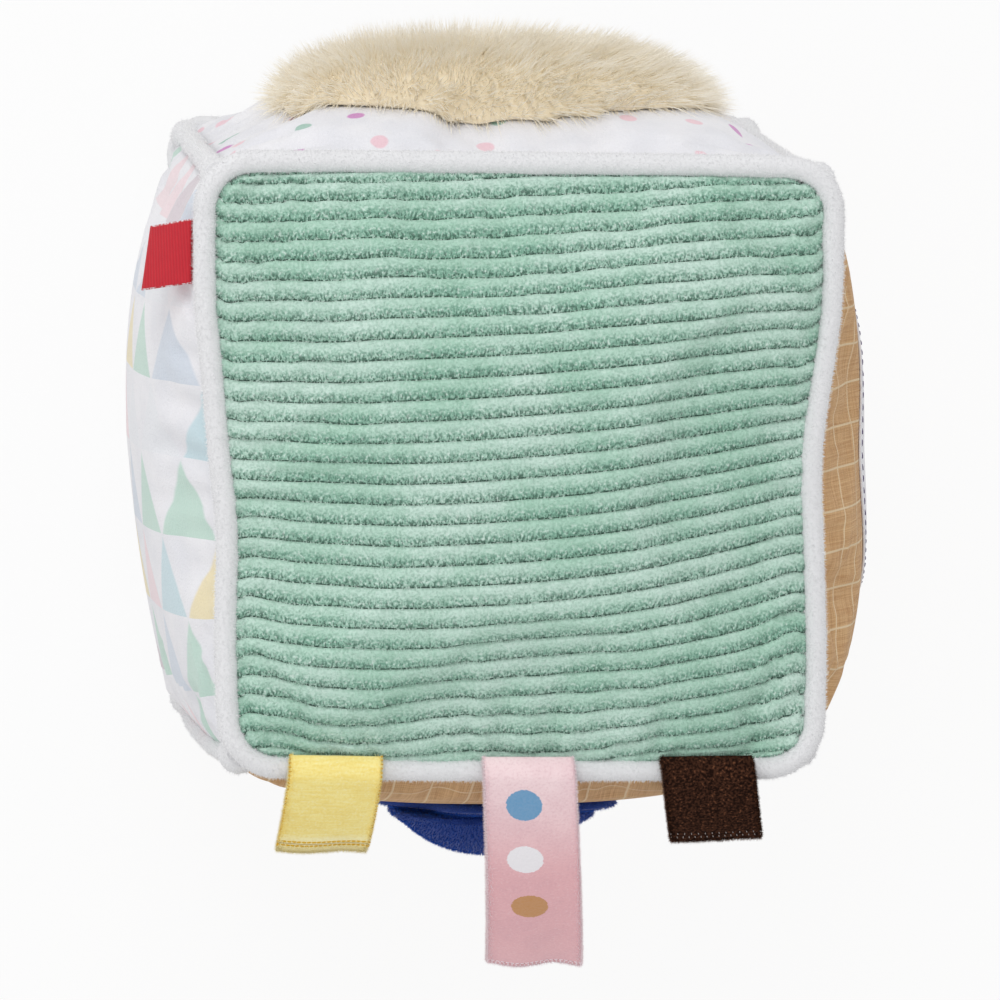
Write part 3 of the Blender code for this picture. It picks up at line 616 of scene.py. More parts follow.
# %% [markdown]
# ## Stuffing the cloth
# The filling presses every panel out against its seams, and the cloth, cut a little larger than the
# frame of its seams, puckers beside them. A short cloth simulation does this: the rim is pinned where
# the seam holds it, air pressure stands for the filling, and how far a point may move is capped.

# %% Stuffing simulation
STUFF_FRAMES = 20
STUFF_CAP = 0.0022
CLOTH_SPARE = 0.03
STUFFING = {
    "quality": 6,
    "mass": 0.2,
    "vertex_group_mass": "held",
    "use_pressure": True,
    "uniform_pressure_force": 2.5,
    "shrink_min": -CLOTH_SPARE,
    "bending_stiffness": 0.3,
}


def press_out(obj, held_points, cap):
    """Fills an object's cloth with its held points fixed, and moves the rest by at most the cap."""
    held = obj.vertex_groups.new(name="held")
    held.add(held_points.tolist(), 1.0, "ADD")
    cloth = obj.modifiers.new("stuffing", "CLOTH")
    for name, value in STUFFING.items():
        setattr(cloth.settings, name, value)
    cloth.settings.effector_weights.gravity = 0
    for number in range(1, STUFF_FRAMES + 1):
        scene.frame_set(number)
    pressed = settled_mesh(obj)
    after, before = points_of(pressed), points_of(obj.data)
    bpy.data.meshes.remove(pressed)
    obj.modifiers.remove(cloth)
    obj.vertex_groups.remove(held)
    scene.frame_set(1)
    move = after - before
    length = np.linalg.norm(move, axis=-1, keepdims=True)
    moved = before + move * np.minimum(1, cap / np.maximum(length, 1e-9))
    obj.data.vertices.foreach_set("co", moved.ravel())
    print(obj.name, "stuffed, moved at most, mm:", round(1000 * length.max(), 2))


def stuffed(name, grid):
    """Presses a grid out with its rim held, and gives its new points."""
    obj = grid_object(name, grid)
    rim = np.ones(grid.shape[:2], bool)
    rim[1:-1, 1:-1] = False
    press_out(obj, np.flatnonzero(rim), STUFF_CAP)
    points = points_of(obj.data).reshape(grid.shape)
    drop(obj)
    return points


# %% [markdown]
# ## The plain shapes of the six panels
# The front and the rear panel are squares with round corners, and the four side panels run from one
# rounded corner to the next. Every rim ends inside the piping's fuzz, as cloth goes into a seam.

# %% Panel grids
CLOTH_INSET = 0.0019
INSET_SHARE = CLOTH_INSET / REAR_REACH
COARSE = 46


def face_grid(z):
    u, v = np.meshgrid(np.linspace(-1, 1, COARSE), np.linspace(-1, 1, COARSE))
    y = v * (1 - INSET_SHARE)
    beyond = np.maximum(0, np.abs(y) - (1 - CORNER_SHARE))
    half = 1 - CORNER_SHARE + np.sqrt(np.maximum(0, (CORNER_SHARE - INSET_SHARE) ** 2 - beyond**2))
    return swell(z * u * half, y, z)


def side_grid(side):
    steps = np.linspace(-1, 1, COARSE)
    return side_place(side, steps * (HALF_RUN - INSET_SHARE), steps[:, None] * (1 - INSET_SHARE))


panels = {"front": stuffed("front_trial", face_grid(1))}
panels["rear"] = stuffed("rear_trial", face_grid(-1))
for side in QUARTER_TURNS:
    panels[side] = stuffed(side + "_trial", side_grid(side))

# %% [markdown]
# ## Looking up a place on a side
# The patches are sewn onto the side panels, so they need the finished cloth's place and direction at
# any length along and up a side.

# %% Places on a side panel
FINE = 101
fine_sides = {side: finer(panels[side], FINE, FINE) for side in QUARTER_TURNS}


def outward(grid):
    up, along = np.gradient(grid, axis=(0, 1))
    return unit(np.cross(along, up))


side_normals = {side: outward(grid) for side, grid in fine_sides.items()}


def on_side(side, along, up, height):
    """Places a height above a side's cloth, from shares along and up from its middle."""
    column = (along / (HALF_RUN - INSET_SHARE) + 1) / 2 * (FINE - 1)
    row = (up / (1 - INSET_SHARE) + 1) / 2 * (FINE - 1)
    column, row = np.clip(column, 0, FINE - 1.001), np.clip(row, 0, FINE - 1.001)
    left, low = column.astype(int), row.astype(int)
    right_share, top_share = (column - left)[..., None], (row - low)[..., None]

    def between(values):
        bottom = blend(values[low, left], values[low, left + 1], right_share)
        top = blend(values[low + 1, left], values[low + 1, left + 1], right_share)
        return blend(bottom, top, top_share)

    normal = between(side_normals[side])
    return between(fine_sides[side]) + normal * np.asarray(height)[..., None]


# %% [markdown]
# ## Hairs
# Plush, terry and fur are all hairs rooted in cloth. One tree serves them: it scatters roots, stands a
# thin cone on each, and leans it along a set direction with some disorder. The length, thickness and
# lean are inputs. A hair remembers how near its tip a point is and a random shade, and the
# materials read both.

# %% Hair tree
NOWHERE = (0.0, 0.0, 0.0)
HAIR_LENGTHS = (0.65, 1.2)


def hair_tree(name, segments):
    tree, given = new_tree(
        name, Density=1000.0, Length=0.001, Thickness=0.0001, Lean=NOWHERE, Spread=0.3, Clump=0.0,
        Clump_Size=0.01, Middle=NOWHERE, Outward=0.0, Bend=0.0, Seed=1,
    )
    seed, lean = given["Seed"], given["Lean"]
    density = named(tree, "pile") * given["Density"]
    sockets = {"Mesh": given["Geometry"], "Density": density, "Seed": seed}
    roots, normal = put(tree, "GeometryNodeDistributePointsOnFaces", sockets, ("Points", "Normal"))
    place = put(tree, "GeometryNodeInputPosition")

    sockets = {"Vertices": 3, "Side Segments": segments, "Radius Bottom": 1.0, "Depth": 1.0}
    height = put(tree, "ShaderNodeSeparateXYZ", {0: place}, "Z")
    hair = stored(put(tree, "GeometryNodeMeshCone", sockets), "tip", height)

    scatter = chance(tree, (-1.0, -1.0, -1.0), (1.0, 1.0, 1.0), seed) * given["Spread"]
    cloud = cloudy(place, 1.0 / given["Clump_Size"], out="Color")
    swirl = (cloud - (0.5, 0.5, 0.5)) * given["Clump"]
    away = reckon("NORMALIZE", place - given["Middle"]) * given["Outward"]
    aim = normal + lean + scatter + swirl + away

    stand = put(tree, "FunctionNodeAlignRotationToVector", {"Vector": aim}, axis="Z")
    sockets = {"Rotation": stand, "Vector": lean + away}
    turn = put(tree, "FunctionNodeAlignRotationToVector", sockets, axis="X", pivot_axis="Z")
    length = chance(tree, *HAIR_LENGTHS, seed + 7) * given["Length"]
    coat = planted(roots, hair, turn, vector(given["Thickness"], given["Thickness"], length))
    coat = stored(coat, "shade", chance(tree, 0.0, 1.0, seed + 3), "INSTANCE")
    real = put(tree, "GeometryNodeRealizeInstances", {0: coat})
    curl = reckon("POWER", named(tree, "tip"), 2.0) * given["Bend"]
    return close_tree(shifted(real, (away + lean) * curl), given)


short_hair = hair_tree("short_hair", 1)
long_hair = hair_tree("long_hair", 3)


def napped(source, tree, name, material, body, slot, **values):
    """Hairs on a piece, as a piece of their own."""
    done(grown(source, tree, name, material, **values), body, slot)


def area_of(obj):
    return sum(face.area for face in obj.data.polygons)


# %% [markdown]
# ## Stitches
# A row of sewing is one short thread after another along a line. A tree spaces points evenly along
# the line and lays a slim capsule at each, either along the line or, for an oversewn edge, across it.


# %% Stitch tree
def stitch_tree():
    tree, given = new_tree("stitches", Spacing=0.0014, Length=0.001, Radius=0.00012, Across=NOWHERE)
    path = put(tree, "GeometryNodeMeshToCurve", {"Mesh": given["Geometry"]})
    sockets = {"Curve": path, "Length": given["Spacing"]}
    outs = ("Points", "Tangent")
    spots, tangent = put(tree, "GeometryNodeCurveToPoints", sockets, outs, mode="LENGTH")
    wobble = chance(tree, (-0.15, -0.15, -0.15), (0.15, 0.15, 0.15), 5)
    aim = reckon("NORMALIZE", given["Across"] * 100.0 + tangent) + wobble
    lie = put(tree, "FunctionNodeAlignRotationToVector", {"Vector": aim}, axis="Z")
    capsule = put(tree, "GeometryNodeMeshUVSphere", {"Segments": 6, "Rings": 4, "Radius": 1.0})
    size = vector(given["Radius"], given["Radius"], given["Length"] * 0.5)
    return close_tree(planted(spots, capsule, lie, size), given)


stitches = stitch_tree()


def path_object(name, points, closed, bulb=0.0):
    """A line of points; bulb is how much thicker than its tree says the piece is at each."""
    count = len(points)
    edges = [(number, (number + 1) % count) for number in range(count if closed else count - 1)]
    mesh = bpy.data.meshes.new(name)
    mesh.from_pydata(points.tolist(), edges, [])
    swelling = np.broadcast_to(bulb, count).astype(float)
    mesh.attributes.new("bulb", "FLOAT", "POINT").data.foreach_set("value", swelling)
    return add_to_scene(name, mesh)


def sewn_row(name, points, closed, material, body, slot, **sizes):
    """A row of stitches along a line of points."""
    guide = path_object(name + "_path", points, closed)
    done(grown(guide, stitches, name, material, **sizes), body, slot)
    drop(guide)


# %% [markdown]
# ## Cloth finishes
# Each cloth is a procedural material. Plush and terry are darker at the roots of their hairs than at
# the tips, woven cloth has two sets of threads, and the prints are worked out from the cloth map.


# %% Plush
def pile_material(name, root, tip, deep, sheen=0.3, roughness=0.85):
    """Plush of hairs: a root colour, a tip colour, and a deeper one for cloudy patches."""
    material, tree = new_material(name, roughness, sheen)
    place = object_place(tree)
    tint = mixed(fade(cloudy(place, 90.0, 3.0), 0.35, 0.7) * 0.45, tip, deep)
    tint = mixed(attribute(tree, "shade") * 0.25, tint, root)
    colour = mixed(fade(attribute(tree, "tip"), -0.1, 0.8), root, tint)
    return finished(material, colour, cloudy(place, 2200.0), 0.5, 0.0004)


terry = pile_material("white_terry", (229, 229, 231), (248, 248, 248), (239, 239, 240))
navy_plush = pile_material("navy_plush", (12, 50, 130), (30, 98, 208), (20, 72, 166), 0.1, 0.6)
wadding = pile_material("white_wadding", (200, 200, 200), (240, 240, 240), (220, 220, 220))


# %% Mint ribbed plush
def mint_material():
    """Painted light on a rib's upper half, painted shade on its lower half and in the gaps between its
    tufts, and a painted shade line along each valley.
    """
    material, tree = new_material("mint_ribbed_plush", 0.9, 0.3)
    place = object_place(tree)
    across = reckon("FRACT", attribute(tree, "rib"))
    cloud = fade(cloudy(place, 50.0, 3.0), 0.3, 0.7)
    # Painted light and shade: each rib is lighter on its upper half, which faces the lamp, and darker on
    # its lower half.
    light = mixed(cloud, (220, 242, 232), (190, 226, 208))
    dark = mixed(cloud, (196, 226, 212), (160, 204, 184))
    colour = mixed(fade(across, 0.3, 0.8), light, dark)

    tufts = cloudy(place, 1500.0, 1.0)
    # Fine dark and pale specks are the pile's grain; the dark ones are also painted shade between tufts,
    # strongest on each rib's shaded lower half.
    rough = fade(across, 0.25, 0.7) * 0.5 + 0.2
    colour = mixed(fade(tufts, 0.46, 0.66) * rough, colour, (112, 158, 138))
    colour = mixed(fade(tufts, 0.44, 0.3) * rough, colour, (240, 252, 246))

    narrow = put(tree, "ShaderNodeMapping", {"Vector": place, "Scale": (2000.0, 900.0, 900.0)})
    ticks = cloudy(narrow, 1.0, 1.0)
    # Painted shade in the gaps between tufts on each rib's lower half.
    tuft_gap_shade = fade(ticks, 0.5, 0.6) * fade(across, 0.45, 0.9)
    colour = mixed(tuft_gap_shade * 0.85, colour, (66, 100, 86))
    # Painted shade: a dark dotted line along each valley between ribs, with pale specks left in it.
    valley = fade(abs(across - 0.5), 0.46, 0.485)
    colour = mixed(valley * fade(ticks, 0.44, 0.50) * 0.95, colour, (26, 40, 36))
    colour = mixed(valley * fade(ticks, 0.44, 0.38), colour, (236, 248, 242))

    root = mixed(0.3, colour, (104, 150, 130))
    lit = mixed(attribute(tree, "shade") * 0.25, colour, root)
    colour = mixed(fade(attribute(tree, "tip"), -0.8, 0.9), root, lit)
    return finished(material, colour, tufts, 0.7, 0.0006)


mint = mint_material()

# %% [markdown]
# ## The front panel's ribs
# Wide-wale plush has about thirty ribs across the block. A tree lowers the cloth between the crests:
# each point knows how many ribs lie above it, and the fraction says where on its rib it is. The ribs
# keep an even spacing and run off at a slant into the bottom seam.

# %% Rib tree
WALE_BACKING = 0.0016
PANEL_THICKNESS = 0.0016


def rib_tree():
    tree, given = new_tree("ribs", Height=0.0012, Flatness=8.0, Wander=0.12, Dents=0.0006)
    place = put(tree, "GeometryNodeInputPosition")
    wander = (cloudy(place, 260.0) - 0.5) * 0.5 + (cloudy(place, 45.0) - 0.5)
    number = wander * given["Wander"] + named(tree, "wale")
    off_crest = abs(reckon("FRACT", number) * 2.0 - 1.0)
    steep = reckon("POWER", off_crest, given["Flatness"])
    depth = (cloudy(place, 120.0) - 0.5) * given["Dents"] + steep * given["Height"]
    marked = stored(given["Geometry"], "rib", number)
    marked = stored(marked, "pile", 1.0 - steep)
    return close_tree(shifted(marked, put(tree, "GeometryNodeInputNormal") * (depth * -1.0)), given)


ribs = rib_tree()

# %% Where the ribs run
RIB_ROWS = 385
RIB_COLUMNS = 110
RIB_PITCH = 0.00485
FIRST_RIB = 0.75
TOP_LEFT_LEVEL = 0.0713
RISE_TO_RIGHT = (1.1, 2.0)
SAG = (0.15, 1.35)
RIPPLE = 0.22
RIPPLE_FROM = 0.78


def rib_numbers(grid):
    """How many ribs lie above each point: they rise to the right, and sag more further down."""
    u, v = np.meshgrid(np.linspace(-1, 1, RIB_COLUMNS), np.linspace(-1, 1, RIB_ROWS))
    right, down = (1 + u) / 2, (1 - v) / 2
    middle = grid[RIB_ROWS // 2, :, 1] - block_middle[1]
    number = FIRST_RIB + (TOP_LEFT_LEVEL - middle) / RIB_PITCH - cloth_lengths(grid)[..., 1] / RIB_PITCH
    rise = blend(*RISE_TO_RIGHT, np.sin(down * 2.2)) * right
    sag = blend(*SAG, down) * 4 * right * (1 - right)
    low = np.clip((down - RIPPLE_FROM) / (1 - RIPPLE_FROM), 0, 1)
    return number + rise - sag + RIPPLE * np.sin(right * 17 + 1.0) * low


# %% Front panel
front_grid = finer(panels["front"], RIB_ROWS, RIB_COLUMNS)
wale = rib_numbers(front_grid)
print("ribs, at the left and right edge:", wale[0, 0].round(1), wale[0, -1].round(1))
front_sheet = grid_object("front_sheet", front_grid, wale=wale)
ribbed = grown(front_sheet, ribs, "ribbed_sheet", mint)
front_panel = thickened(ribbed, "ribbed_front_panel", WALE_BACKING, -1, mint)
done(front_panel, "block", "mint_ribbed_plush", "front_panel")
print("front panel's cut, mm:", [round(1000 * size, 1) for size in cloth_size(front_grid)])

# %% Front panel's plush
FRONT_PLUSH = {
    "Density": 2e6,
    "Length": 0.0009,
    "Thickness": 0.00005,
    "Lean": (0.0, -0.35, 0.0),
    "Spread": 0.45,
}
for number in (1, 2, 3):
    title = f"front_plush_{number}"
    napped(ribbed, short_hair, title, mint, "block", "mint_ribbed_plush", Seed=number, **FRONT_PLUSH)
drop(front_sheet, ribbed)

# %% [markdown]
# ## Printed velour and checked linen
# The white velour has a very short nap and soft printed shapes: dots on the top panel and triangles
# on the left one. The linen has a windowpane check of single cream threads.


# %% Velour
def velour_material(name, print_colour=None):
    """White velour; print_colour gives a share and a colour for the print."""
    material, tree = new_material(name, 0.9, 0.4)
    place = object_place(tree)
    cloud = fade(cloudy(place, 70.0, 3.0), 0.3, 0.75)
    colour = mixed(cloud, (241, 240, 243), (230, 230, 235))
    if print_colour:
        share, ink = print_colour(*cloth_map(tree))
        colour = mixed(share, colour, ink)
    nap = cloudy(place, 1800.0)
    colour = mixed(nap * 0.12, colour, (190, 192, 205))
    return finished(material, colour, nap, 0.6, 0.0005)


def palette(value, colours):
    """One of several colours, picked by a random value from 0 to 1."""
    ramp = value.tree.nodes.new("ShaderNodeValToRGB")
    value.tree.links.new(value.socket, ramp.inputs[0])
    ramp.color_ramp.interpolation = "CONSTANT"
    stops = ramp.color_ramp.elements
    for number, colour in enumerate(colours):
        stop = stops[number] if number < 2 else stops.new(number / len(colours))
        stop.position = number / len(colours)
        stop.color = dye(*colour)
    return Out(ramp.outputs[0])


# %% Prints
DOT_SPACING = 0.0165
DOT_SHARE = 0.155
DOT_INKS = ((214, 168, 104), (240, 196, 206), (132, 186, 164), (200, 92, 184), (240, 196, 206))
TRIANGLE_HEIGHT = 0.0205
TRIANGLE_WIDTH = 0.029
TRIANGLE_INKS = (
    (182, 216, 224), (238, 218, 150), (242, 212, 216), (200, 212, 226), (170, 214, 192),
    (206, 190, 196), (232, 234, 238),
)


def dots(across, up):
    sockets = {"Vector": vector(across, up), "Scale": 1 / DOT_SPACING, "Randomness": 0.55}
    outs = ("Distance", "Color")
    away, colour = put(across.tree, "ShaderNodeTexVoronoi", sockets, outs, voronoi_dimensions="2D")
    share = fade(away, DOT_SHARE, DOT_SHARE - 0.04)
    pick = put(across.tree, "ShaderNodeSeparateXYZ", {0: colour})
    return share * 0.85, palette(pick, DOT_INKS)


def triangles(across, up):
    """Rows of triangles that point along the seam to the top panel."""
    row_place = across / -TRIANGLE_HEIGHT
    row = reckon("FLOOR", row_place)
    rise = reckon("FRACT", row_place)
    along = row * 0.5 + up / TRIANGLE_WIDTH
    off = abs(reckon("FRACT", along) * 2.0 - 1.0)
    share = fade(1.0 - rise - off, 0.0, 0.12)
    cell = {"Vector": vector(reckon("FLOOR", along), row)}
    pick = put(across.tree, "ShaderNodeTexWhiteNoise", cell, noise_dimensions="2D")
    return share * 0.7, palette(pick, TRIANGLE_INKS)


plain_velour = velour_material("plain_velour")
dotted_velour = velour_material("dotted_velour", dots)
triangle_velour = velour_material("triangle_velour", triangles)

# %% Linen
CHECK_ALONG = 0.0106
CHECK_UP = 0.0110
THREAD = 0.00055


def threads(length, other):
    """The light and dark of one set of threads, and how they swell and thin along their run."""
    slub = cloudy(vector(length * (1 / THREAD), other * 60.0), 1.0, 1.0)
    return reckon("SINE", length * (math.tau / THREAD)) * 0.5 + 0.5, slub


def check_line(length, spacing):
    return fade(reckon("PINGPONG", length + 0.5, spacing / 2), 0.0004, 0.00015)


def linen_material():
    """Tan linen: uneven threads both ways and single cream threads in a windowpane check."""
    material, tree = new_material("tan_linen", 0.8, 0.15)
    across, up = cloth_map(tree)
    warp, warp_slub = threads(across, up)
    weft, weft_slub = threads(up, across)
    slub = (warp_slub + weft_slub) * 0.5
    colour = mixed(fade(slub, 0.3, 0.7), (200, 152, 100), (238, 198, 144))
    weave = warp * weft
    colour = mixed(weave * -0.35 + 0.35, colour, (158, 108, 62))
    lines = reckon("MAXIMUM", check_line(across, CHECK_ALONG), check_line(up, CHECK_UP))
    colour = mixed(lines * 0.7, colour, (238, 220, 184))
    return finished(material, colour, weave + slub, 0.6, 0.0003)


linen = linen_material()

# %% Rear and side panels
finishes = {
    "rear": ("white_velour", plain_velour),
    "left": ("white_velour", triangle_velour),
    "top": ("white_velour", dotted_velour),
    "right": ("tan_linen", linen),
    "bottom": ("tan_linen", linen),
}
rest_level = cad_box[0].z


def cut_lengths(grid):
    """Lengths on the flat square that a panel was cut from, so its print runs true to its seams."""
    width, height = cloth_size(grid)
    shares = np.linspace(-0.5, 0.5, FINE)
    return np.stack(np.meshgrid(width * shares, height * shares), axis=-1)


for name, (slot, material) in finishes.items():
    grid = finer(panels[name], FINE, FINE)
    if name == "rear":
        grid[..., 2] = np.maximum(grid[..., 2], rest_level)
    sheet = grid_object(name + "_sheet", grid, cut_lengths(grid))
    panel = thickened(sheet, "stuffed_" + name + "_panel", PANEL_THICKNESS, -1, material)
    drop(sheet)
    done(panel, "block", slot, name + "_panel")

# %% [markdown]
# ## Pipings
# A cord covered in white terry runs in every seam. A tree bends a round section along the seam's path
# and makes it a little lumpy, and the hair tree gives it its pile.

# %% Piping tree
CORE_RADIUS = 0.0027


def piping_tree():
    tree, given = new_tree("piping", Radius=CORE_RADIUS, Step=0.0012, Lumps=0.0006)
    path = put(tree, "GeometryNodeMeshToCurve", {"Mesh": given["Geometry"]})
    sockets = {"Curve": path, "Length": given["Step"]}
    even = put(tree, "GeometryNodeResampleCurve", sockets, mode="LENGTH")
    sockets = {"Resolution": 14, "Radius": given["Radius"]}
    ring = put(tree, "GeometryNodeCurvePrimitiveCircle", sockets)
    sockets = {"Curve": even, "Profile Curve": ring, "Fill Caps": True}
    tube = put(tree, "GeometryNodeCurveToMesh", sockets)
    lump = cloudy(put(tree, "GeometryNodeInputPosition"), 330.0) - 0.5
    swelling = lump * given["Lumps"] + named(tree, "bulb")
    lumpy = shifted(tube, put(tree, "GeometryNodeInputNormal") * swelling)
    return close_tree(smooth(stored(lumpy, "pile", 1.0)), given)


piping = piping_tree()

# %% Six pipings
PIPING_HAIRS = {"front": 36000, "rear": 9000}
CORNER_HAIRS = 5000
CORNERS = {"top_right": "right", "top_left": "top", "bottom_left": "left", "bottom_right": "bottom"}
BULBS = {"top_right": 0.0017, "top_left": 0.0015, "bottom_left": 0.0024, "bottom_right": 0.0012}
BULB_PLACE = 0.0065
BULB_SPREAD = 0.0045
LOOP_STEPS = 60
CORNER_STEPS = 120

seams = {}
for name, z in (("front", 1), ("rear", -1)):
    run = np.linspace(-HALF_RUN, HALF_RUN, LOOP_STEPS, endpoint=False)
    seams[name] = (np.concatenate([side_place(side, run, z) for side in QUARTER_TURNS]), True, 0.0)
end = 1 - CORE_RADIUS / (DEPTH / 2)
heights = np.linspace(-end, end, CORNER_STEPS)
from_end = (1 - np.abs(heights)) * DEPTH / 2
for name, side in CORNERS.items():
    bulb = BULBS[name] * np.exp(-(((from_end - BULB_PLACE) / BULB_SPREAD) ** 2))
    seams[name] = (side_place(side, HALF_RUN, heights), False, bulb)

for number, (name, (points, closed, bulb)) in enumerate(seams.items()):
    guide = path_object(name + "_path", points, closed, bulb)
    cord = done(
        grown(guide, piping, "terry_" + name + "_piping", terry), "block", "white_terry", name + "_piping"
    )
    napped(
        cord, short_hair, name + "_piping_pile", terry, "block", "white_terry",
        Density=PIPING_HAIRS.get(name, CORNER_HAIRS) / area_of(cord), Length=0.0008,
        Thickness=0.00007, Spread=0.8, Seed=20 + number,
    )
    drop(guide)

# %% [markdown]
# ## Padded patches
# The fur patch and the navy pad are cushions sewn flat onto a side. A polar grid is domed over the
# side's own cloth, so that a patch follows the bulge that it is sewn on, and stuffed like the panels.

# %% Patch shapes
PATCH_GAP = 0.0005
PATCH_CAP = 0.0012
SOFT_SQUARE_POWER = 2.6
LOBE_COUNT = 5
LOBE_SHARE = 0.1
SAME_POINT = 0.00001


def soft_square(angle):
    total = np.abs(np.cos(angle)) ** SOFT_SQUARE_POWER + np.abs(np.sin(angle)) ** SOFT_SQUARE_POWER
    return total ** (-1 / SOFT_SQUARE_POWER)


def lobed(angle):
    return 1 - LOBE_SHARE + LOBE_SHARE * np.cos(LOBE_COUNT * (angle - math.pi))


def cushion_grid(side, outline, half, along, rise, lift, count, edge=0.0, curve=(4.0, 0.5)):
    """Rings of a dome over a side, from its middle to its edge, and then under it to its middle."""
    shares = np.sin(np.linspace(0.0, math.pi / 2, count))
    heights = lift + edge + (rise - edge) * np.maximum(0, 1 - shares ** curve[0]) ** curve[1]
    under = np.linspace(1, 0, count // 2)
    shares = np.concatenate((shares, under))[:, None]
    heights = np.concatenate((heights, np.full(len(under), lift)))[:, None]
    angle = np.linspace(0, math.tau, 97)[None, :]
    share = shares * outline(angle)
    across = (along + share * half[0] * np.cos(angle)) / REAR_REACH
    up = share * half[1] * np.sin(angle) / (DEPTH / 2)
    return on_side(side, across, up, np.broadcast_to(heights, up.shape))


def merged(mesh):
    """Joins the doubled points of a mesh and turns its faces outward."""
    bm = bmesh.new()
    bm.from_mesh(mesh)
    bmesh.ops.remove_doubles(bm, verts=bm.verts, dist=SAME_POINT)
    bmesh.ops.dissolve_degenerate(bm, dist=SAME_POINT, edges=bm.edges)
    bmesh.ops.recalc_face_normals(bm, faces=bm.faces)
    bm.to_mesh(mesh)
    bm.free()


def patch_object(name, grid, domed, cap=0.0):
    """A closed pad from its rings; up to its cap, its domed rings are pressed out by the filling."""
    sewn = np.ones(grid.shape[:2])
    sewn[: domed - 1] = 0
    obj = grid_object(name, grid[::-1], sewn=sewn[::-1])
    merged(obj.data)
    if cap:
        held = np.empty(len(obj.data.vertices))
        obj.data.attributes["sewn"].data.foreach_get("value", held)
        press_out(obj, np.flatnonzero(held > 0.5), cap)
    return obj


# %% Fur patch
FUR_HALF = (0.0545, 0.0510)
FUR_RISE = 0.0060
FUR_FRONT_LOBE = 0.13
FUR_LOBE_SPREAD = 0.4
FUR_RINGS = 22
FUR_COAT = {
    "Density": 4e5,
    "Length": 0.0068,
    "Thickness": 0.00012,
    "Lean": (0.3, -0.2, 0.6),
    "Spread": 0.35,
    "Clump": 2.2,
    "Clump_Size": 0.008,
    "Outward": 0.55,
    "Bend": 0.0015,
}
fur = pile_material("beige_fur", (244, 234, 212), (255, 253, 247), (249, 242, 226), 0.2)
fur_backing = pile_material("fur_backing", (240, 226, 198), (252, 245, 228), (243, 231, 202), 0.2)


def fur_outline(angle):
    """A soft square that hangs a little further down in the middle of its front edge."""
    lobe = np.exp(-(((angle - math.pi / 2) / FUR_LOBE_SPREAD) ** 2))
    return soft_square(angle) * (1 + FUR_FRONT_LOBE * lobe)


fur_grid = cushion_grid("top", fur_outline, FUR_HALF, 0.0, FUR_RISE, PATCH_GAP, FUR_RINGS)
fur_patch = patch_object("padded_fur_patch", fur_grid, FUR_RINGS, PATCH_CAP)
fur_patch.data.materials.append(fur_backing)
done(fur_patch, "block", "beige_fur", "fur_patch", "fur_patch_wadding")
fur_middle = tuple(on_side("top", *np.zeros((3, 1)))[0])
for number in range(3):
    coat = dict(FUR_COAT, Middle=fur_middle, Seed=40 + number)
    napped(fur_patch, long_hair, f"fur_{number + 1}", fur, "block", "beige_fur", **coat)

# %% Navy patch and pad
NAVY_HALF = (0.0320, 0.0330)
NAVY_ALONG = 0.0020
NAVY_CLOTH = 0.0028
NAVY_RINGS = 14
PAD_HALF = (0.0250, 0.0250)
PAD_ALONG = -0.0004
PAD_RISE = 0.0124
PAD_LIFT = 2 * PATCH_GAP + NAVY_CLOTH
PAD_EDGE = 0.0004
PAD_CURVE = (2.4, 0.85)
PAD_RINGS = 18

navy_grid = cushion_grid(
    "bottom", lobed, NAVY_HALF, NAVY_ALONG, NAVY_CLOTH, PATCH_GAP, NAVY_RINGS, NAVY_CLOTH * 0.6
)
pad_grid = cushion_grid(
    "bottom", soft_square, PAD_HALF, PAD_ALONG, PAD_RISE, PAD_LIFT, PAD_RINGS, PAD_EDGE, PAD_CURVE
)
navy_patch = patch_object("navy_lobed_patch", navy_grid, NAVY_RINGS)
navy_pad = patch_object("navy_stuffed_pad", pad_grid, PAD_RINGS, PATCH_CAP)
for piece, nodes, hairs, seed in (
    (navy_patch, ("navy_patch",), 18000, 51),
    (navy_pad, ("navy_pad", "navy_pad_wadding"), 20000, 52),
):
    piece.data.materials.append(navy_plush)
    done(piece, "block", "navy_plush", *nodes)
    napped(
        piece, short_hair, piece.name + "_plush", navy_plush, "block", "navy_plush",
        Density=hairs / area_of(piece), Length=0.0008, Thickness=0.00009, Spread=0.5, Seed=seed,
    )

# %% Round patch
ROUND_RADIUS = 0.042
ROUND_THICKNESS = 0.0010
ROUND_GAP = 0.0001
ROUND_EDGE = 0.0005
ROUND_RINGS = 14
FROM_EDGE = 0.0015
STITCH_LEVEL = 0.0008

round_grid = cushion_grid(
    "right", np.ones_like, (ROUND_RADIUS,) * 2, 0.0, ROUND_THICKNESS, ROUND_GAP, ROUND_RINGS, ROUND_EDGE
)
round_patch = patch_object("lilac_round_patch", round_grid, ROUND_RINGS)
round_patch.data.materials.append(velour_material("lilac_velour"))
done(round_patch, "block", "lilac_velour", "round_patch")

violet_thread = pile_material("violet_thread", (70, 46, 96), (112, 82, 142), (84, 58, 112), 0.1)
turn = np.linspace(0, math.tau, 240, endpoint=False)
ring = on_side(
    "right",
    (ROUND_RADIUS - FROM_EDGE) * np.cos(turn) / REAR_REACH,
    (ROUND_RADIUS - FROM_EDGE) * np.sin(turn) / (DEPTH / 2),
    np.full(len(turn), STITCH_LEVEL),
)
sewn_row(
    "round_patch_stitches", ring, True, violet_thread, "block", "lilac_velour",
    Spacing=0.0030, Length=0.0019, Radius=0.00022,
)

# %% [markdown]
# ## Filling and rattle
# Loose white fibre fills the block around a small capsule with steel beads. It could be left out of
# sight as plain solids, but a cut or opened block would then show smooth plastic. A tree divides each
# half of the filling and dents it inward, so that it stays clear of the cloth.


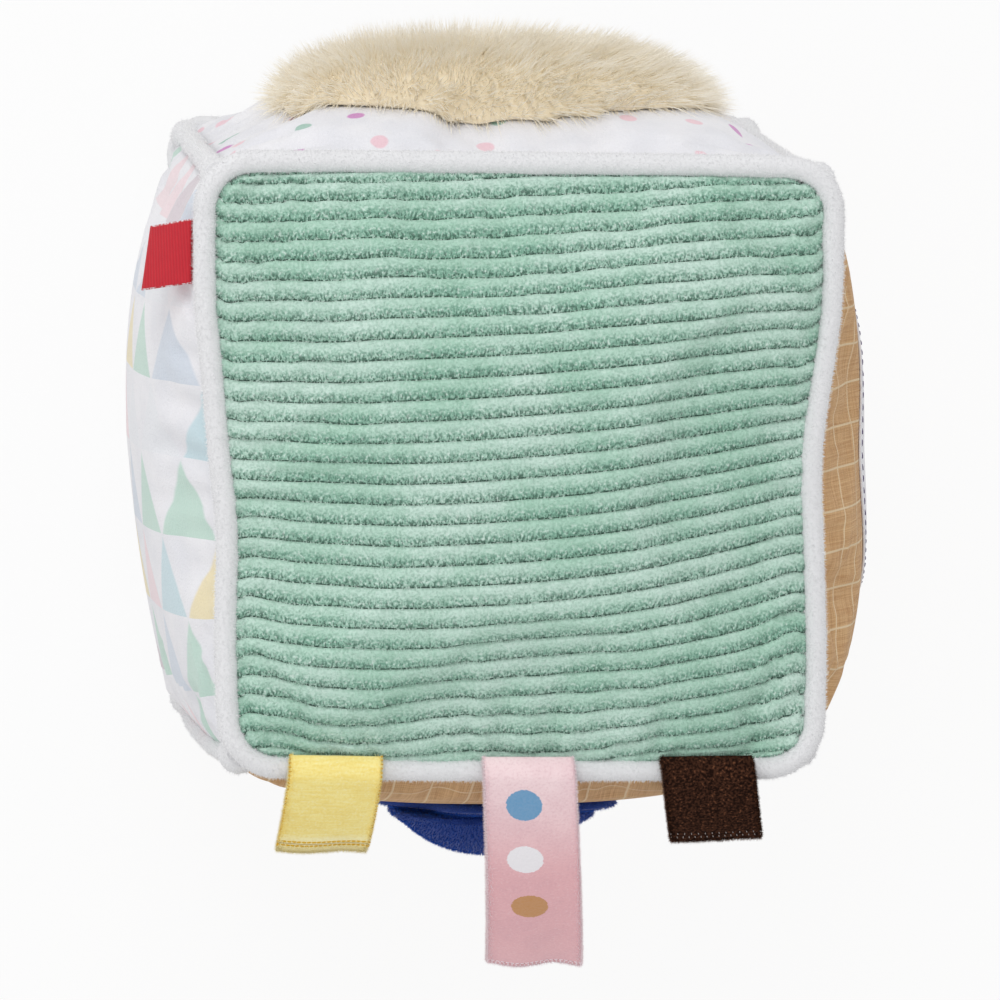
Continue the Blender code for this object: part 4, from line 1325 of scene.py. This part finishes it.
# %% Wadding
def dent_tree():
    tree, given = new_tree("dents", Cuts=1, Depth=0.0015, Size=0.014)
    sockets = {"Mesh": given["Geometry"], "Level": given["Cuts"]}
    divided = put(tree, "GeometryNodeSubdivideMesh", sockets)
    place = put(tree, "GeometryNodeInputPosition")
    dent = cloudy(place, 1.0 / given["Size"]) * given["Depth"]
    dented = shifted(divided, put(tree, "GeometryNodeInputNormal") * (dent * -1.0))
    return close_tree(smooth(dented), given)


def follow_sides(mesh):
    """Moves a filling's points with the settled sides, more the nearer they lie to them."""
    points = points_of(mesh)
    shares = np.clip((points - block_middle) / (REAR_REACH, REAR_REACH, DEPTH / 2), -1, 1)
    mesh.vertices.foreach_set("co", (points + settle(*shares.T)).ravel())


dents = dent_tree()
for node in ("upper_wadding", "lower_wadding"):
    whole = add_to_scene(node + "_whole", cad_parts[node].data.copy())
    merged(whole.data)
    follow_sides(whole.data)
    filling = done(grown(whole, dents, "lumpy_" + node, wadding), "block", "white_wadding", node)
    drop(whole)


# %% Rattle's plastic and steel
def rattle_material(name, cloud, marks, relief, colours, rough, metallic=0.0):
    """A hard finish with soft clouds in its colour and fine marks in its shine."""
    material, tree = new_material(name, rough, metallic=metallic)
    place = object_place(tree)
    scale, start, end = cloud
    colour = mixed(fade(cloudy(place, scale, 3.0), start, end), *colours)
    fine = cloudy(place, marks, 3.0)
    return finished(material, colour, fine, 0.2, relief, fade(fine, 0.4, 0.7) * 0.2 + rough)


PLASTIC = ((232, 234, 238), (222, 226, 232))
STEEL = ((196, 196, 200), (172, 172, 176))
plastic = rattle_material("milky_plastic", (70.0, 0.3, 0.7), 900.0, 0.0001, PLASTIC, 0.3)
steel = rattle_material("tumbled_steel", (2500.0, 0.35, 0.65), 2500.0, 0.00005, STEEL, 0.22, 1.0)
for name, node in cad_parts.items():
    if name.startswith("rattle_"):
        for holder in node.material_slots:
            holder.material = steel if "bead" in name else plastic

# %% [markdown]
# ## Tabs
# Each tab is two plies of cloth sewn into the bottom front seam. They wrap over the piping and droop
# under their own weight. The path is drawn in the seam's upright plane, as in the solid model, and
# made wide along the seam.

# %% Tab shapes
PLY_THICKNESS = 0.0008
PLY_GAP = 0.0003
TAB_GAP = 0.0006
TAB_ROOT_PLACE = 134.0
WRAP_STEPS = 18
FREE_STEPS = 60


def seam_frame(side, run):
    """A point of the front seam, with the directions along it, up and outward there."""
    step = 0.001
    along = unit(side_place(side, run + step, 1) - side_place(side, run - step, 1))
    up = unit(np.array((0, 0, 1.0)) - along * along[2])
    return side_place(side, run, 1), along, up, np.cross(along, up)


def strip_path(root, headings, steps, offset):
    """Outward and up places along a strip that turns through headings, set off to one side."""
    places = []
    place = np.array(root, float)
    for number, heading in enumerate(headings):
        places.append(place + np.array((-math.sin(heading), math.cos(heading))) * offset)
        if number < len(steps):
            middle = (heading + headings[number + 1]) / 2
            place = place + np.array((math.cos(middle), math.sin(middle))) * steps[number]
    return np.array(places)


def root_on_cord(radius, degrees):
    angle = math.radians(degrees)
    return radius * math.cos(angle), radius * math.sin(angle)


def tab_path(radius, length, offset, droop_start, droop_end):
    """From the seam over the piping, then out and down."""
    first = math.radians(TAB_ROOT_PLACE - 90)
    wrap_turn = math.radians(TAB_ROOT_PLACE - 90 + droop_start)
    wrap = [first - wrap_turn * i / WRAP_STEPS for i in range(WRAP_STEPS)]
    droops = [blend(droop_start, droop_end, i / FREE_STEPS) for i in range(FREE_STEPS + 1)]
    free = [-math.radians(droop) for droop in droops]
    wrap_length = radius * wrap_turn
    steps = [wrap_length / WRAP_STEPS] * WRAP_STEPS
    steps += [(length - wrap_length) / FREE_STEPS] * FREE_STEPS
    return strip_path(root_on_cord(radius, TAB_ROOT_PLACE), wrap + free, steps, offset)


def strip_grid(path, frame_here, width, columns, slant, ripple=0.0, waves=1.0, flare=0.0):
    """A path made wide along the seam, rippled more towards its free end, and slanted to one side."""
    seam, along, up, out = frame_here
    from_root = np.linalg.norm(path - path[0], axis=1)
    slide = from_root * math.tan(math.radians(slant))
    middle = seam + path[:, :1] * out + path[:, 1:] * up + slide[:, None] * along
    across = np.linspace(-0.5, 0.5, columns)
    widths = width * (1 + flare * (from_root / from_root[-1] - 0.5))[:, None, None]
    grid = middle[:, None, :] + across[None, :, None] * widths * along
    direction = unit(np.gradient(path, axis=0))
    normal = -direction[:, 1:] * out + direction[:, :1] * up
    share = np.linspace(0, 1, len(path))[:, None]
    wave = np.sin(across[None, :] * math.tau * waves + share * 3.0) * ripple * share**3
    return grid + normal[:, None, :] * wave[..., None]


# %% Tab cloth
def worn(place, colour, deep, pale, share):
    """Short nap brushed unevenly: soft deeper clouds, and fine pale and deep specks."""
    colour = mixed(fade(cloudy(place, 130.0), 0.35, 0.7) * share, colour, deep)
    specks = cloudy(place, 1700.0, 1.0)
    colour = mixed(fade(specks, 0.5, 0.7) * share, colour, deep)
    return mixed(fade(specks, 0.45, 0.25) * share, colour, pale), specks


def shadow_line_between_hems(colour, up, level, ink):
    """A thin painted shadow line in the given colour across a tab, a level above its end, between its two
    rows of hem stitches.
    """
    return mixed(fade(abs(up - level), 0.0003, 0.0001) * 0.7, colour, ink)


def satin_material():
    """Yellow satin with a short nap that is brushed sideways, and paler by its hem."""
    material, tree = new_material("yellow_satin", 0.55, 0.25)
    across, up = cloth_map(tree)
    streak = cloudy(vector(across * 160.0, up * 1500.0), 1.0)
    colour = mixed(fade(streak, 0.3, 0.7), (252, 236, 154), (248, 226, 132))
    colour = mixed(fade(up, 0.006, 0.003), colour, (253, 244, 186))
    colour, specks = worn(object_place(tree), colour, (236, 208, 108), (254, 248, 206), 0.3)
    # Painted shadow between the two rows of gold hem stitches.
    colour = shadow_line_between_hems(colour, up, 0.0015, (150, 112, 40))
    return finished(material, colour, streak + specks, 0.4, 0.0003)


PINK_DOTS = (
    (-0.0018, 0.0662, (96, 154, 196)),
    (-0.0020, 0.0492, (244, 242, 246)),
    (-0.0012, 0.0318, (196, 138, 76)),
)
PINK_DOT_RADIUS = 0.0045


def dotted_pink_material():
    """Pink velour with three big printed dots, and painted shade that deepens from where it bends over the
    seam towards its drooping end.
    """
    material, tree = new_material("pink_velour", 0.85, 0.3)
    across, up = cloth_map(tree)
    place = object_place(tree)
    pale = (250, 232, 236)
    # Painted shade: the pink is paler near the seam and deeper towards the drooping end, which turns away
    # from the light.
    colour = mixed(fade(up, 0.04, 0.076), (236, 182, 187), (248, 222, 225))
    colour, specks = worn(place, colour, (206, 158, 170), pale, 0.18)
    rough_edge = cloudy(place, 1500.0, 1.0) * 0.0007 - 0.00035
    for aside, level, ink in PINK_DOTS:
        reach = reckon("LENGTH", vector(across - aside, up - level)) + rough_edge
        inside = fade(reach, PINK_DOT_RADIUS + 0.0001, PINK_DOT_RADIUS - 0.0001)
        colour = mixed(inside, colour, mixed(specks * 0.12, ink, pale))
    # Painted shadow between the two rows of hem stitches.
    colour = shadow_line_between_hems(colour, up, 0.0019, (170, 96, 100))
    return finished(material, colour, specks, 0.5, 0.0003)


def brown_material():
    """Dark brown plush with copper lights in its nap."""
    material, tree = new_material("dark_brown_plush", 1.0, specular=0.05)
    nap = cloudy(object_place(tree), 1600.0, 1.0)
    colour = mixed(fade(nap, 0.35, 0.65), (30, 16, 11), (68, 42, 30))
    colour = mixed(fade(nap, 0.66, 0.72) * 0.5, colour, (130, 84, 58))
    return finished(material, colour, nap, 0.7, 0.0004)


pale_yellow = pile_material("pale_yellow_plush", (226, 210, 150), (246, 238, 200), (238, 226, 180))
pale_pink = pile_material("pale_pink_plush", (232, 206, 212), (250, 238, 241), (240, 220, 226))
soft_brown = pile_material("soft_brown_plush", (88, 60, 48), (136, 104, 88), (108, 78, 64), 0.1)
gold_thread = pile_material("gold_thread", (214, 168, 40), (228, 184, 56), (204, 156, 34))
pink_thread = pile_material("pink_thread", (246, 230, 235), (252, 243, 246), (240, 218, 224))
grey_thread = pile_material("grey_thread", (150, 140, 136), (190, 184, 182), (70, 52, 46), 0.1)

# %% Three tabs: place along the seam, width, length and the back ply's longer part
TABS = {
    "yellow": (-0.0458, 0.0218, 0.0297, 0.0034),
    "pink": (0.0008, 0.0225, 0.0780, 0.0012),
    "brown": (0.0443, 0.0220, 0.0270, 0.0017),
}
# Their droop's first and last angle, and their slant, ripple, waves and flare
SHORT_DROOP = (32.0, 50.0)
PINK_DROOP = (22.0, 61.0)
HANGS = {
    "yellow": (SHORT_DROOP, (-1.7, 0.0004, 1.0, 0.0)),
    "pink": (PINK_DROOP, (5.7, 0.0006, 1.3, 0.08)),
    "brown": (SHORT_DROOP, (8.5, 0.0004, 0.5, 0.0)),
}
CLOTHS = {
    "yellow": (satin_material(), "yellow_satin", pale_yellow, "pale_yellow_plush"),
    "pink": (dotted_pink_material(), "pink_velour", pale_pink, "pale_pink_plush"),
    "brown": (brown_material(), "dark_brown_plush", soft_brown, "soft_brown_plush"),
}
TAB_COLUMNS = 37
FRINGE_DENSITY = {"front": 16e6, "back": 34e6}
FRINGE_REACH = 0.0009

half_seam = (FRONT_BOTTOM_X[1] - FRONT_BOTTOM_X[0]) / 2
wrap_radius = PIPING_RADIUS + TAB_GAP + PLY_THICKNESS + PLY_GAP / 2
ply_offset = (PLY_THICKNESS + PLY_GAP) / 2
tab_fronts = {}
for name, (along, width, length, longer) in TABS.items():
    here = seam_frame("bottom", along / half_seam)
    droop, drape = HANGS[name]
    front, front_slot, back, back_slot = CLOTHS[name]
    for ply, offset, ply_length, material, slot in (
        ("front", ply_offset, length, front, front_slot),
        ("back", -ply_offset, length + longer, back, back_slot),
    ):
        path = tab_path(wrap_radius, ply_length, offset, *droop)
        grid = strip_grid(path, here, width, TAB_COLUMNS, *drape)[::-1]
        steps = np.linalg.norm(np.diff(path[::-1], axis=0), axis=1)
        from_tip = np.insert(np.cumsum(steps), 0, 0)[:, None]
        off_middle = np.linspace(-width / 2, width / 2, TAB_COLUMNS)[None, :]
        lengths = np.stack(np.broadcast_arrays(off_middle, from_tip), axis=-1)
        to_edge = np.minimum(width / 2 - np.abs(off_middle), from_tip)
        pile = np.clip(1 - to_edge / FRINGE_REACH, 0, 1)
        sheet = grid_object(f"{name}_{ply}_sheet", grid, lengths, pile=pile)
        strip = thickened(sheet, f"{name}_tab_{ply}_ply", PLY_THICKNESS, 0, material)
        drop(sheet)
        done(strip, name + "_tab", slot, f"{name}_tab_{ply}")
        hairs = back if name == "pink" else material
        napped(
            strip, short_hair, f"{name}_{ply}_fringe", hairs, name + "_tab", slot,
            Density=FRINGE_DENSITY[ply], Length=0.0009, Thickness=0.00006, Spread=0.7, Seed=60,
        )
        if ply == "front":
            tab_fronts[name] = (grid, outward(grid), from_tip[:, 0])

# %% Tab stitches: thread, its radius, and rows with a level, spacing, length and how far they turn
HEMS = {
    "yellow": (gold_thread, 0.00027, ((0.0008, 0.0011, 0.0011, 0.0), (0.0022, 0.0012, 0.0012, 0.0))),
    "pink": (pink_thread, 0.0002, ((0.0009, 0.0010, 0.0016, 1.0), (0.0024, 0.0012, 0.0011, 0.0))),
    "brown": (grey_thread, 0.00013, ((0.0016, 0.0014, 0.0010, 0.3), (0.0030, 0.0016, 0.0009, 0.3))),
}
EDGE_ROWS = {"left": 0, "right": -1}
EDGE_STITCH = 0.0010
EDGE_LIFT = 0.0002
HEM_LIFT = PLY_THICKNESS / 2 + 0.00005

for name, (thread, radius, rows) in HEMS.items():
    grid, normals, from_tip = tab_fronts[name]
    down = unit(grid[0, TAB_COLUMNS // 2] - grid[6, TAB_COLUMNS // 2])
    aside = unit(grid[0, -1] - grid[0, 0])
    sewing = []
    for place, column in EDGE_ROWS.items() if name != "brown" else ():
        points = grid[:, column] + normals[:, column] * EDGE_LIFT
        sewing.append((f"{place}_edge_stitches", points, EDGE_STITCH, EDGE_STITCH, aside))
    for number, (level, spacing, long, turned) in enumerate(rows, 1):
        row = int(np.argmin(np.abs(from_tip - level)))
        points = grid[row] + normals[row] * HEM_LIFT
        sewing.append((f"hem_stitches_{number}", points, spacing, long, down * turned))
    for title, points, spacing, long, across in sewing:
        sewn_row(
            f"{name}_{title}", points, False, thread, name + "_tab", CLOTHS[name][1],
            Spacing=spacing, Length=long, Radius=radius, Across=tuple(across),
        )

# %% [markdown]
# ## Label
# The label is one tape folded in two at its outer end, with both ends sewn in under the piping.

# %% Red twill
LABEL_WIDTH = 0.0155
TWILL = 0.0005


def twill_material():
    """Woven tape: fine diagonal ridges, and a pale thread along each selvedge."""
    material, tree = new_material("red_twill", 0.6, 0.2)
    across, up = cloth_map(tree)
    place = object_place(tree)
    diagonal = reckon("SINE", (up * 0.6 + across) * (math.tau / TWILL))
    picks = reckon("SINE", across * (math.tau / (TWILL * 0.9)))
    ridge = diagonal * picks * 0.5 + 0.5
    colour = mixed(ridge, (188, 26, 42), (214, 42, 56))
    cloud = fade(cloudy(place, 400.0), 0.3, 0.7)
    colour = mixed(cloud * 0.25, colour, (186, 26, 44))
    rim = fade(abs(across), LABEL_WIDTH / 2 - 0.0004, LABEL_WIDTH / 2 - 0.0002)
    dash = fade(cloudy(place, 1700.0, 1.0), 0.42, 0.55)
    colour = mixed(rim * dash, colour, (240, 226, 230))
    return finished(material, colour, ridge, 0.6, 0.0002)


# %% Folded label
LABEL_LENGTH = 0.0125
LABEL_PLY = 0.0004
LABEL_GAP = 0.0002
LABEL_FOLD_RADIUS = 0.0005
LABEL_ALONG = -0.0527
LABEL_ROOT_PLACE = -42.0
LABEL_DROOP = (30.0, 42.0)
LABEL_SLANT = 11.0
LABEL_FAN = 0.16
LABEL_STEPS = 16
LABEL_COLUMNS = 21
FOLD_STEPS = 8

here = seam_frame("left", LABEL_ALONG / REAR_REACH)
radius = PIPING_RADIUS + LABEL_GAP + LABEL_FOLD_RADIUS + LABEL_PLY / 2
headings = [-math.radians(blend(*LABEL_DROOP, i / LABEL_STEPS)) for i in range(LABEL_STEPS + 1)]
upper, lower = (
    strip_path(
        root_on_cord(radius, LABEL_ROOT_PLACE), headings, [LABEL_LENGTH / LABEL_STEPS] * LABEL_STEPS, offset
    )
    for offset in (LABEL_FOLD_RADIUS, -LABEL_FOLD_RADIUS)
)
fold_turns = headings[-1] + math.pi / 2 - math.pi * np.arange(1, FOLD_STEPS) / FOLD_STEPS
arc = np.stack((np.cos(fold_turns), np.sin(fold_turns)), axis=-1) * LABEL_FOLD_RADIUS
label_path = np.concatenate((upper, (upper[-1] + lower[-1]) / 2 + arc, lower[::-1]))
label_grid = strip_grid(label_path, here, LABEL_WIDTH, LABEL_COLUMNS, LABEL_SLANT)
from_root = np.linalg.norm(label_path - label_path[0], axis=1)[:, None, None]
fan = np.linspace(-0.5, 0.5, LABEL_COLUMNS)[None, :, None] * from_root * LABEL_FAN
label_sheet = grid_object("label_sheet", (label_grid + fan * here[3])[::-1])
label = thickened(label_sheet, "folded_red_label", LABEL_PLY, 0, twill_material())
drop(label_sheet)
done(label, "label", "red_twill", "side_label")
